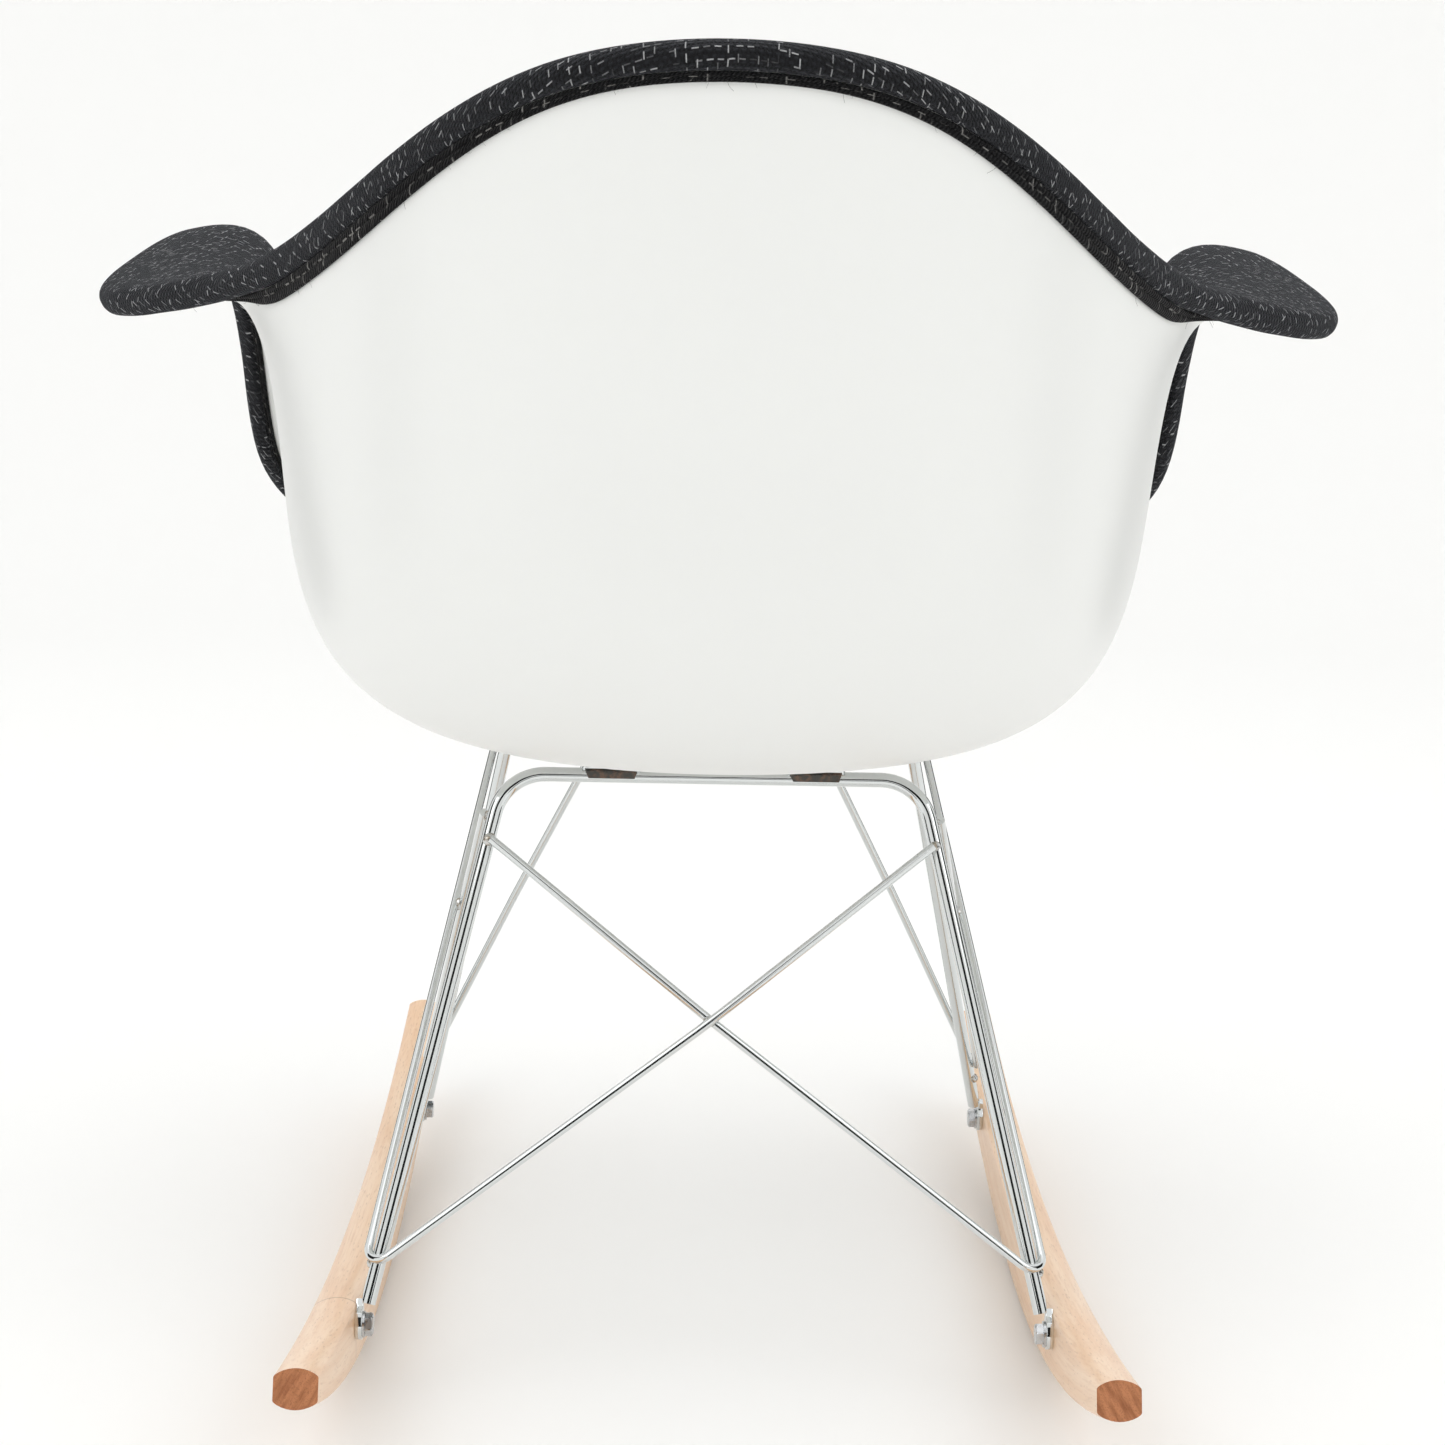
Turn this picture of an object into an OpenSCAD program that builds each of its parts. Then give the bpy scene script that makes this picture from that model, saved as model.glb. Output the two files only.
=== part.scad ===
// Rocking armchair: a moulded, lined bucket shell on a bent-wire base with two beech rockers.
// Millimetres. The chair faces -Y, +Z is up, +X is the sitter's left. The floor is z = 0
// and the chair is symmetric about x = 0, apart from the crossing of the two rear braces.

/* [Shell] */
// Wall of the moulded shell
shell_wall = 4; // [3:0.5:5]
// Foam between the shell and the cover
foam_thickness = 5; // [4:0.5:6]
// Cloth of the cover
cloth_thickness = 1; // [0.8:0.1:1.5]

/* [Wire base] */
// Diameter of the leg hoops' rod
leg_rod_d = 7.5; // [7:0.5:8]
// Diameter of the braces' rod
brace_rod_d = 4.5; // [4:0.1:4.6]
// Radius at the top corners of the hoops
hoop_bend = 26; // [20:1:32]

/* [Rockers] */
// Width of a rocker
rocker_w = 20; // [18:1:22]
// Height of a rocker at its middle
rocker_h = 41; // [38:1:44]
// Radius of the rocking edge behind the resting point
rear_rocker_r = 945; // [900:5:1000]
// Radius of the rocking edge ahead of the resting point
front_rocker_r = 1285; // [1200:5:1400]

/* [Hidden] */

white_pp = "#eef0ed";
foam_grey = "#6d6f72";
tweed_black = "#1d1e21";
welt_black = "#141517";
chrome_grey = "#c9cdd1";
zinc_grey = "#aeb3b6";
brass = "#b99a4b";
rubber_black = "#26272a";
beech = "#e0b488";

// ---- Shell form: rings of control points, from the seat's middle out to the rim ----
// Points are from the shell's own datum, which lies at shell_at. The columns run
// front middle, front, front corner, side, arm root, arm front, outer front, outer rear, arm
// rear, rear root, back side, shoulder, back top, back middle.
shell_at = [0, -7, 304];
seat_middle = [0, -40, 25];
rings = [
    // Middle of the seat
    [[0, -130, 30], [35, -128, 30], [65, -112, 29], [82, -92, 28], [92, -72, 27], [97, -53, 26],
     [99, -35, 25], [97, -15, 24], [92, 3, 23], [82, 22, 22], [68, 40, 21], [50, 54, 20],
     [25, 64, 19], [0, 66, 19]],
    // Seat
    [[0, -215, 46], [75, -212, 45], [132, -195, 43], [160, -162, 40], [173, -124, 37],
     [178, -85, 34], [179, -50, 31], [176, -10, 28], [166, 30, 24], [150, 68, 20],
     [126, 100, 15], [92, 124, 11], [48, 137, 9], [0, 141, 8]],
    // Turn from the seat into the walls
    [[0, -262, 64], [95, -260, 63], [172, -240, 60], [206, -198, 58], [218, -150, 56],
     [221, -100, 52], [219, -48, 48], [213, 0, 44], [202, 50, 38], [184, 98, 30],
     [156, 140, 21], [116, 168, 13], [61, 185, 8], [0, 191, 7]],
    // Foot of the walls
    [[0, -280, 73], [105, -277, 72], [196, -256, 75], [231, -208, 84], [242, -156, 96],
     [240, -100, 104], [236, -45, 104], [229, 10, 102], [218, 65, 95], [200, 118, 85],
     [174, 163, 74], [132, 197, 64], [70, 217, 57], [0, 223, 55]],
    // Middle of the walls
    [[0, -288, 74], [110, -285, 73], [210, -262, 80], [250, -208, 104], [255, -158, 152],
     [244, -105, 192], [235, -45, 192], [231, 10, 185], [227, 65, 180], [210, 122, 175],
     [182, 174, 170], [140, 214, 164], [74, 236, 160], [0, 242, 158]],
    // Crest of the arms and upper back
    [[0, -293, 71], [113, -291, 70], [215, -266, 80], [259, -199, 108], [258, -150, 182],
     [251, -100, 268], [250, -48, 260], [246, 10, 250], [242, 60, 238], [220, 116, 224],
     [178, 180, 242], [140, 216, 260], [78, 244, 272], [0, 252, 276]],
    // Rim
    [[0, -297, 66], [118, -296, 65], [222, -269, 80], [268, -190, 110], [266, -154, 192],
     [277, -118, 267], [312, -52, 240], [324, 18, 221], [274, 68, 228], [226, 110, 239],
     [178, 186, 274], [140, 220, 306], [82, 254, 338], [0, 261, 348]]
];
rim_u = len(rings);
steps_out = 2;
steps_round = 2;
gap = 0.2;

// A half ring and its mirror image, as one closed loop
function whole(half) = concat(half, [for (i = [len(half) - 2 : -1 : 1]) [-half[i].x, half[i].y, half[i].z]]);
loops = [for (r = rings) whole(r)];
columns = len(loops[0]);

// Two rows past the seat's middle and one past the rim let the curves end cleanly
first_row = [for (i = [0 : columns - 1]) loops[0][(i + columns / 2) % columns]];
middle_row = [for (i = [0 : columns - 1]) seat_middle];
last_row = [for (i = [0 : columns - 1]) 2 * loops[rim_u - 1][i] - loops[rim_u - 2][i]];
control = concat([first_row, middle_row], loops, [last_row]);

// Uniform cubic B-spline weights
function weights(t) = [
    pow(1 - t, 3), 3 * pow(t, 3) - 6 * t * t + 4, 3 * (t + t * t - pow(t, 3)) + 1, pow(t, 3)
] / 6;
function span(u) = min(floor(u), rim_u - 1);
function row_at(u) = let (k = span(u), w = weights(u - k))
    [for (i = [0 : columns - 1])
        w[0] * control[k][i] + w[1] * control[k + 1][i]
        + w[2] * control[k + 2][i] + w[3] * control[k + 3][i]];
function on_row(row, v) = let (k = floor(v), w = weights(v - k))
    w[0] * row[(k - 1 + columns) % columns] + w[1] * row[k % columns]
    + w[2] * row[(k + 1) % columns] + w[3] * row[(k + 2) % columns];
function unit(v) = v / norm(v);

// Outer face of the shell at u rings out and v columns round, and its normal away from the sitter
function face(u, v) = on_row(row_at(u), v) + shell_at;
function normal(u, v) = u < 0.1 ? unit([0, -0.06, -1]) :
    let (e = 0.02,
         du = face(min(u + e, rim_u), v) - face(u - e, v),
         dv = face(u, v + e) - face(u, v - e + (v < e ? columns : 0)))
    unit(cross(dv, du));
function offset_row(u, depth) =
    let (row = row_at(u), out = row_at(min(u + 0.02, rim_u)), in = row_at(u - 0.02))
    [for (j = [0 : columns * steps_round - 1])
        let (v = j / steps_round,
             du = on_row(out, v) - on_row(in, v),
             dv = on_row(row, v + 0.02) - on_row(row, (v < 0.02 ? v + columns : v) - 0.02))
        on_row(row, v) + shell_at - depth * unit(cross(dv, du))];

// A skin that follows the shell from depth near to depth far, measured in from its outer face
module skin(near, far) {
    rows = [for (i = [1 : rim_u * steps_out]) i / steps_out];
    n = columns * steps_round;
    m = len(rows);
    pole = face(0, 0);
    down = normal(0, 0);
    points = concat([for (u = rows) each offset_row(u, near)], [for (u = rows) each offset_row(u, far)],
                    [pole - near * down, pole - far * down]);
    near_pole = 2 * m * n;
    far_pole = near_pole + 1;
    far_start = m * n;
    faces = concat(
        [for (j = [0 : n - 1]) [near_pole, j, (j + 1) % n]],
        [for (j = [0 : n - 1]) [far_pole, far_start + (j + 1) % n, far_start + j]],
        [for (i = [0 : m - 2], j = [0 : n - 1])
            each quad(i * n + j, i * n + (j + 1) % n, (i + 1) * n + (j + 1) % n, (i + 1) * n + j, j < n / 2)],
        [for (i = [0 : m - 2], j = [0 : n - 1]) let (k = far_start + i * n, l = k + n)
            each quad(k + (j + 1) % n, k + j, l + j, l + (j + 1) % n, j >= n / 2)],
        [for (j = [0 : n - 1]) let (k = (m - 1) * n, l = far_start + k)
            each quad(k + j, k + (j + 1) % n, l + (j + 1) % n, l + j, j < n / 2)]);
    polyhedron(points, faces);
}
// Two triangles, split the other way on the mirrored half so that both halves match
function quad(a, b, c, d, left) = left ? [[a, c, b], [a, d, c]] : [[a, d, b], [b, d, c]];

// The cloth wraps further down behind each shoulder than elsewhere
shoulder_column = 10.4;
shoulder_reach = 2.2;
shoulder_wrap = 0.9;
function wrap(v) = let (d = min(abs(v - shoulder_column), abs(columns - v - shoulder_column), shoulder_reach))
    1 + shoulder_wrap * (1 + cos(180 * d / shoulder_reach)) / 2;

// A strip with a closed section, swept round the rim. Section points are [out past the rim,
// out from the outer face]; points behind the rim follow the shell's face.
module rim_strip(section) {
    n = columns * steps_round;
    k = len(section);
    points = [for (j = [0 : n - 1]) let (v = j / steps_round,
        pitch = norm(face(rim_u, v) - face(rim_u - 0.02, v)) / 0.02,
        edge = face(rim_u, v), ahead = unit(edge - face(rim_u - 0.02, v)))
        for (s = section) let (u = rim_u + min(s.x, 0) * wrap(v) / pitch)
            face(u, v) + max(s.x, 0) * ahead + s.y * normal(u, v)];
    faces = [for (j = [0 : n - 1], i = [0 : k - 1])
        let (l = (j + 1) % n * k, h = (i + 1) % k)
        each quad(j * k + i, j * k + h, l + h, l + i, j < n / 2)];
    polyhedron(points, faces);
}

lining_depth = shell_wall + foam_thickness + cloth_thickness + 3 * gap;
module seat_shell() { color(white_pp) skin(0, shell_wall); }
module foam_pad() { color(foam_grey) skin(shell_wall + gap, shell_wall + gap + foam_thickness); }
module fabric_lining() { color(tweed_black) skin(lining_depth - cloth_thickness, lining_depth); }
module fabric_rim() {
    color(tweed_black) rim_strip([[0.3, gap], [0.3, -lining_depth], [5, 1 - lining_depth], [8, -6],
        [8.5, -2], [7.3, 2.2], [4, 4.2], [0, 4.6], [-3.5, 3.8], [-4.6, gap]]);
}
module edge_welt() { color(welt_black) rim_strip([[-4.9, gap], [-5.1, 2.8], [-9, 2.8], [-9.6, gap]]); }

// ---- Rods: each bend swells very slightly, and the straights run a little way into it ----
elbow_swell = 0.03;
elbow_bite = 0.4;
module straight(p, q, r) {
    v = q - p;
    translate(p) rotate([0, acos(v.z / norm(v)), atan2(v.y, v.x)]) cylinder(r = r, h = norm(v), $fn = 24);
}
// Bend at corner c between the rays towards a and b, with centreline radius bend
module elbow(c, a, b, bend, r) {
    da = unit(a - c);
    db = unit(b - c);
    half = acos(da * db) / 2;
    centre = c + unit(da + db) * bend / sin(half);
    start = c + da * bend / tan(half);
    finish = c + db * bend / tan(half);
    x = unit(start - centre);
    z = unit(cross(x, finish - centre));
    y = cross(z, x);
    multmatrix([[x.x, y.x, z.x, centre.x], [x.y, y.y, z.y, centre.y], [x.z, y.z, z.z, centre.z]])
        rotate_extrude(angle = 180 - 2 * half, $fn = 96)
            translate([bend, 0]) circle(r = r + elbow_swell, $fn = 24);
}
function setback(c, a, b, bend) = bend / tan(acos(unit(a - c) * unit(b - c)) / 2);
// Rod along points, with a bend radius for each inner point
module rod(points, bends, r) {
    last = len(points) - 1;
    back = [for (i = [0 : last]) i == 0 || i == last ? 0 :
        setback(points[i], points[i - 1], points[i + 1], bends[i - 1]) - elbow_bite];
    for (i = [0 : last - 1]) {
        along = unit(points[i + 1] - points[i]);
        straight(points[i] + along * back[i], points[i + 1] - along * back[i + 1], r);
    }
    for (i = [1 : last - 1]) elbow(points[i], points[i - 1], points[i + 1], bends[i - 1], r);
}

// ---- Leg hoops: [half width at the bar, y, z of the bar] and [half width, y, z at the leg's end] ----
leg_r = leg_rod_d / 2;
brace_r = brace_rod_d / 2;
rear_bar = [106, 88, 298.5];
rear_foot = [166.5, 177.6, 48];
front_bar = [108, -86, 317];
front_foot = [166.5, -175.7, 48];
tab_t = 3.5;
tab_w = 15;
tab_up = 7;
rocker_x = 172;
bolt_drop = 10;
bolt_r = 3;
bolt_hole_r = 3.3;

function mirrored(p) = [-p.x, p.y, p.z];
function leg_way(bar, foot) = unit([0, foot.y - bar.y, foot.z - bar.z]);
function bolt_at(bar, foot) = [rocker_x, foot.y, foot.z] + bolt_drop * leg_way(bar, foot);

// Flattened lower end of a leg: a drilled, round-ended tab against the rocker's inner face
module leg_tab(bar, foot) {
    way = leg_way(bar, foot);
    translate([rocker_x - tab_t, foot.y, foot.z]) rotate([atan2(way.y, -way.z), 0, 0])
        difference() {
            union() {
                translate([0, -tab_w / 2, -bolt_drop]) cube([tab_t, tab_w, bolt_drop + tab_up]);
                translate([0, 0, -bolt_drop]) rotate([0, 90, 0]) cylinder(r = tab_w / 2, h = tab_t, $fn = 48);
            }
            translate([-1, 0, -bolt_drop]) rotate([0, 90, 0])
                cylinder(r = bolt_hole_r, h = tab_t + 2, $fn = 32);
        }
}
module hoop(bar, foot) {
    rod([foot, bar, mirrored(bar), mirrored(foot)], [hoop_bend, hoop_bend], leg_r);
    leg_tab(bar, foot);
    mirror([1, 0, 0]) leg_tab(bar, foot);
}
module rear_hoop() { color(chrome_grey) hoop(rear_bar, rear_foot); }
module front_hoop() { color(chrome_grey) hoop(front_bar, front_foot); }

// ---- Braces ----
// Side diagonal from the front leg's top, round behind the rear leg's foot, up across the back
cross_z = 184.5;
cross_y = 140.5;
rear_brace_top = [118.3, -93, 298];
rear_brace_turn = [169.2, 178.5, 63];
rear_brace_end = [-112, 105.1, 268];
// Side diagonal from the rear leg's top, round before the front leg's foot, up to the front bar
front_brace_top = [116.2, 92.9, 279];
front_brace_turn = [169.5, -178.3, 63];
front_brace_mid = [112, -139, 184];
front_brace_end = [49, -89.2, 311.9];
turn_bend = 8;
slight_bend = 300;

module rear_brace(side) {
    middle = [0, cross_y + side * brace_r, cross_z];
    color(chrome_grey)
        rod([rear_brace_top, rear_brace_turn, middle, rear_brace_end], [turn_bend, slight_bend], brace_r);
}
module front_brace() {
    color(chrome_grey) rod([front_brace_top, front_brace_turn, front_brace_mid, front_brace_end],
        [turn_bend, slight_bend], brace_r);
}
module left_rear_brace() { rear_brace(1); }
module right_rear_brace() { mirror([1, 0, 0]) rear_brace(-1); }
module left_front_brace() { front_brace(); }
module right_front_brace() { mirror([1, 0, 0]) front_brace(); }

// Weld beads where rods meet, on the left side; the middle one joins the two rear braces
bead_r = 3;
left_welds = [[115.4, -92.8, 293], [164.8, 170, 66], [164.6, -168, 67], [113.2, 102, 267.3],
    [113.5, 93.5, 277], [135, 7, 211], [49, -87.6, 314.5]];
module weld_beads() {
    color(zinc_grey) {
        for (p = left_welds) {
            translate(p) sphere(r = bead_r, $fn = 24);
            mirror([1, 0, 0]) translate(p) sphere(r = bead_r, $fn = 24);
        }
        translate([0, cross_y, cross_z]) sphere(r = bead_r, $fn = 24);
    }
}

// ---- Seat mounts: plate on the bar, spacer, boss, insert and screw on one axis ----
mount_x = 52;
rear_tilt = 6;
front_tilt = 3.5;
plate_w = 30;
plate_l = 28;
plate_t = 3;
plate_hole_r = 3.4;
screw_r = 3;
screw_head_r = 5.5;
screw_head_h = 3.5;
washer_t = 1;
spacer_r = 11;
rear_spacer_h = 5;
front_spacer_h = 3;
boss_r = 13;
rear_boss_h = 10;
front_boss_h = 6.6;
insert_r = 4;
insert_bore_r = 3.1;
insert_h = 5;
rear_mount = [mount_x, 75, 303.5];
front_mount = [mount_x, -73, 319.8];

// Children at both rear mounts or both front mounts, with z along the screw
module at_rear() {
    for (side = [1, -1])
        translate([side * rear_mount.x, rear_mount.y, rear_mount.z]) rotate([-rear_tilt, 0, 0]) children();
}
module at_front() {
    for (side = [1, -1])
        translate([side * front_mount.x, front_mount.y, front_mount.z])
            rotate([-front_tilt, 0, 0]) children();
}
module tube(r_out, r_in, h) {
    difference() {
        cylinder(r = r_out, h = h, $fn = 48);
        translate([0, 0, -1]) cylinder(r = r_in, h = h + 2, $fn = 32);
    }
}
module mount_plate(ahead) {
    difference() {
        translate([-plate_w / 2, ahead - plate_l / 2, 0]) cube([plate_w, plate_l, plate_t]);
        translate([0, 0, -1]) cylinder(r = plate_hole_r, h = plate_t + 2, $fn = 32);
    }
}
module boss(h) {
    difference() {
        cylinder(r = boss_r, h = h, $fn = 64);
        translate([0, 0, -1]) cylinder(r = insert_r + 0.05, h = insert_h + 1.2, $fn = 32);
    }
}
module screw(grip) {
    translate([0, 0, -washer_t - screw_head_h]) cylinder(r = screw_head_r, h = screw_head_h, $fn = 48);
    translate([0, 0, -washer_t - screw_head_h])
        cylinder(r = screw_r, h = washer_t + screw_head_h + grip, $fn = 32);
}
plate_shift = 4;
module rear_mount_plates() { color(chrome_grey) at_rear() mount_plate(plate_shift); }
module front_mount_plates() { color(chrome_grey) at_front() mount_plate(-plate_shift); }
module rubber_spacers() {
    color(rubber_black) {
        at_rear() translate([0, 0, plate_t]) tube(spacer_r, plate_hole_r, rear_spacer_h);
        at_front() translate([0, 0, plate_t]) tube(spacer_r, plate_hole_r, front_spacer_h);
    }
}
module shell_bosses() {
    color(white_pp) {
        at_rear() translate([0, 0, plate_t + rear_spacer_h]) boss(rear_boss_h);
        at_front() translate([0, 0, plate_t + front_spacer_h]) boss(front_boss_h);
    }
}
module boss_inserts() {
    color(brass) {
        at_rear() translate([0, 0, plate_t + rear_spacer_h]) tube(insert_r, insert_bore_r, insert_h);
        at_front() translate([0, 0, plate_t + front_spacer_h]) tube(insert_r, insert_bore_r, insert_h);
    }
}
module seat_screws() {
    color(zinc_grey) {
        at_rear() screw(plate_t + rear_spacer_h + insert_h);
        at_front() screw(plate_t + front_spacer_h + insert_h);
    }
}
module seat_washers() {
    color(zinc_grey) {
        at_rear() translate([0, 0, -washer_t]) tube(6.5, 3.3, washer_t);
        at_front() translate([0, 0, -washer_t]) tube(6.5, 3.3, washer_t);
    }
}

// ---- Rockers: above the rocking edge and under a flatter top arc, both slightly crowned ----
// The resting point lies below the chair's centre of mass, so the chair stands level.
resting_y = 10;
rear_end_angle = 20.4;
front_end_angle = 15.8;
top_arc_r = 1900;
top_arc_y = -31.6;
crown = 3;
bolt_depth = 12;
rocker_bore_r = 4.6;
rocker_bore_depth = 15.5;
rear_bolt = bolt_at(rear_bar, rear_foot);
front_bolt = bolt_at(front_bar, front_foot);

// Half width of a rocker's edge against the drop of its crown
crown_points = [[0, 3], [0.28, 1.6], [0.58, 0.8], [0.85, 0.4]];
// Ring sector about X below its centre, from one angle to the other, positive to the rear.
// side 1 crowns its outer edge at radius r, side -1 its inner edge.
module crowned_ring(r, depth, side, from, to) {
    w = rocker_w / 2;
    edge = concat([for (p = crown_points) [r - side * p.y * crown / 3, -w + p.x * w]],
        [[r, 0]],
        [for (i = [3 : -1 : 0]) [r - side * crown_points[i].y * crown / 3, w - crown_points[i].x * w]]);
    rotate([0, 90, 0]) rotate([0, 0, from]) rotate_extrude(angle = to - from, $fn = 720)
        polygon(concat([[r - side * depth, -w]], edge, [[r - side * depth, w]]));
}
module rocker() {
    translate([rocker_x + rocker_w / 2, 0, 0]) intersection() {
        union() {
            translate([0, resting_y, rear_rocker_r]) crowned_ring(rear_rocker_r, 70, 1, 0, rear_end_angle);
            translate([0, resting_y, front_rocker_r])
                crowned_ring(front_rocker_r, 70, 1, -front_end_angle, 0);
        }
        translate([0, top_arc_y, rocker_h + top_arc_r]) crowned_ring(top_arc_r, 90, -1, -12, 14);
    }
}
module drilled_rocker() {
    difference() {
        rocker();
        for (p = [rear_bolt, front_bolt]) translate(p + [-1, 0, 0]) rotate([0, 90, 0])
            cylinder(r = rocker_bore_r, h = rocker_bore_depth + 1, $fn = 32);
    }
}
module left_rocker() { color(beech) drilled_rocker(); }
module right_rocker() { color(beech) mirror([1, 0, 0]) drilled_rocker(); }

module at_rocker_bolts() {
    for (p = [rear_bolt, front_bolt]) {
        translate(p) rotate([0, 90, 0]) children();
        mirror([1, 0, 0]) translate(p) rotate([0, 90, 0]) children();
    }
}
head_af = 10;
head_h = 4;
rocker_washer_t = 1.2;
module rocker_bolts() {
    under_head = tab_t + rocker_washer_t;
    color(zinc_grey) at_rocker_bolts() {
        translate([0, 0, -under_head - head_h]) cylinder(r = head_af / 2 / cos(30), h = head_h, $fn = 6);
        translate([0, 0, -under_head - head_h])
            cylinder(r = bolt_r, h = head_h + under_head + bolt_depth, $fn = 32);
    }
}
module rocker_washers() {
    color(zinc_grey) at_rocker_bolts()
        translate([0, 0, -tab_t - rocker_washer_t]) tube(6.5, 3.3, rocker_washer_t);
}
module rocker_inserts() {
    color(brass) at_rocker_bolts() tube(rocker_bore_r - 0.05, insert_bore_r, rocker_bore_depth - 1.5);
}

seat_shell();
foam_pad();
fabric_lining();
fabric_rim();
edge_welt();
shell_bosses();
boss_inserts();
rubber_spacers();
seat_screws();
seat_washers();
rear_hoop();
front_hoop();
left_rear_brace();
right_rear_brace();
left_front_brace();
right_front_brace();
rear_mount_plates();
front_mount_plates();
weld_beads();
left_rocker();
right_rocker();
rocker_bolts();
rocker_washers();
rocker_inserts();
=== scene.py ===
"""A rocking armchair: a moulded bucket shell with a tweed cover, a chromed wire base and beech rockers."""

import math

import bpy
import bmesh
import numpy as np
from mathutils import Matrix, Vector


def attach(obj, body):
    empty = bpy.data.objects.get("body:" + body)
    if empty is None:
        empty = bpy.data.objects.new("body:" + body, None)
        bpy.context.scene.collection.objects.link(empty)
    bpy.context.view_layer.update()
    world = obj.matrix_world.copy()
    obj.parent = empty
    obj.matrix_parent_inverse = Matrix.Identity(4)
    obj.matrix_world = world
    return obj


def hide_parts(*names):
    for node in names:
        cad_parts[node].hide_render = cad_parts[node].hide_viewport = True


bl_info = {
    "name": "Rocking Armchair",
    "version": (1, 0, 0),
    "blender": (4, 5, 0),
    "location": "View3D > Sidebar > Armchair",
    "description": "Builds a rocking armchair with a lined bucket shell, a wire base and beech rockers",
    "category": "Add Mesh",
}

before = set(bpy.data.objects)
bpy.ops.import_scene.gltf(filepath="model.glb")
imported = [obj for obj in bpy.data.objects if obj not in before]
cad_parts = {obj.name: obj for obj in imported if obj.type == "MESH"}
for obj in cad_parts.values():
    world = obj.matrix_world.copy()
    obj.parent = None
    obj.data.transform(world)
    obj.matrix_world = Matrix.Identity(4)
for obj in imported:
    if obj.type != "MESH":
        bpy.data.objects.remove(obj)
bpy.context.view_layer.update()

MM = 0.001

# ---- Shell form, in millimetres: rings of control points from the seat's middle to the rim ----
# Points are from the shell's own datum. The columns run front middle, front, front corner, side,
# arm root, arm front, outer front, outer rear, arm rear, rear root, back side, shoulder, back top,
# back middle; the other half is their mirror image.
SHELL_AT = (0.0, -7.0, 304.0)
SEAT_MIDDLE = (0, -40, 25)
RINGS = [
    # Middle of the seat
    [(0, -130, 30), (35, -128, 30), (65, -112, 29), (82, -92, 28), (92, -72, 27), (97, -53, 26),
     (99, -35, 25), (97, -15, 24), (92, 3, 23), (82, 22, 22), (68, 40, 21), (50, 54, 20),
     (25, 64, 19), (0, 66, 19)],
    # Seat
    [(0, -215, 46), (75, -212, 45), (132, -195, 43), (160, -162, 40), (173, -124, 37),
     (178, -85, 34), (179, -50, 31), (176, -10, 28), (166, 30, 24), (150, 68, 20),
     (126, 100, 15), (92, 124, 11), (48, 137, 9), (0, 141, 8)],
    # Turn from the seat into the walls
    [(0, -262, 64), (95, -260, 63), (172, -240, 60), (206, -198, 58), (218, -150, 56),
     (221, -100, 52), (219, -48, 48), (213, 0, 44), (202, 50, 38), (184, 98, 30),
     (156, 140, 21), (116, 168, 13), (61, 185, 8), (0, 191, 7)],
    # Foot of the walls
    [(0, -280, 73), (105, -277, 72), (196, -256, 75), (231, -208, 84), (242, -156, 96),
     (240, -100, 104), (236, -45, 104), (229, 10, 102), (218, 65, 95), (200, 118, 85),
     (174, 163, 74), (132, 197, 64), (70, 217, 57), (0, 223, 55)],
    # Middle of the walls
    [(0, -288, 74), (110, -285, 73), (210, -262, 80), (250, -208, 104), (255, -158, 152),
     (244, -105, 192), (235, -45, 192), (231, 10, 185), (227, 65, 180), (210, 122, 175),
     (182, 174, 170), (140, 214, 164), (74, 236, 160), (0, 242, 158)],
    # Crest of the arms and upper back
    [(0, -293, 71), (113, -291, 70), (215, -266, 80), (259, -199, 108), (258, -150, 182),
     (251, -100, 268), (250, -48, 260), (246, 10, 250), (242, 60, 238), (220, 116, 224),
     (178, 180, 242), (140, 216, 260), (78, 244, 272), (0, 252, 276)],
    # Rim
    [(0, -297, 66), (118, -296, 65), (222, -269, 80), (268, -190, 110), (266, -154, 192),
     (277, -118, 267), (312, -52, 240), (324, 18, 221), (274, 68, 228), (226, 110, 239),
     (178, 186, 274), (140, 220, 306), (82, 254, 338), (0, 261, 348)],
]
SPANS = len(RINGS)
COLUMNS = 2 * (len(RINGS[0]) - 1)
SHOULDER = 10.4        # the column where the wrap behind the rim is widest
SHOULDER_REACH = 2.2   # columns over which it narrows again
SHOULDER_WRAP = 0.9    # how much further it reaches there, as a share

# ---- Wire base, in millimetres ----
LEG_R = 3.75
BRACE_R = 2.25
ROCKER_X = 172.0
REAR_BAR, REAR_FOOT = (106, 88, 298.5), (166.5, 177.6, 48)
FRONT_BAR, FRONT_FOOT = (108, -86, 317), (166.5, -175.7, 48)
HOOP_BEND = 26
CROSSING = (0, 140.5, 184.5)
REAR_BRACE = [(118.3, -93, 298), (169.2, 178.5, 63), CROSSING, (-112, 105.1, 268)]
FRONT_BRACE = [(116.2, 92.9, 279), (169.5, -178.3, 63), (112, -139, 184), (49, -89.2, 311.9)]
BOLT_DROP = 10
TAB_T, TAB_W = 3.5, 15
WELDS = [(115.4, -92.8, 293), (164.8, 170, 66), (164.6, -168, 67), (113.2, 102, 267.3),
         (113.5, 93.5, 277), (135, 7, 211), (49, -87.6, 314.5)]

# ---- Rockers, in millimetres ----
RESTING_Y = 10.0
REAR_ARC, FRONT_ARC = 945.0, 1285.0
REAR_END, FRONT_END = 20.4, 15.8
TOP_ARC, TOP_ARC_Y, ROCKER_H, ROCKER_W = 1900.0, -31.6, 41.0, 20.0
JOINT_Y, JOINT_SLANT = 184.0, 0.35   # the glued joint in the left rocker, and its lean across

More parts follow.
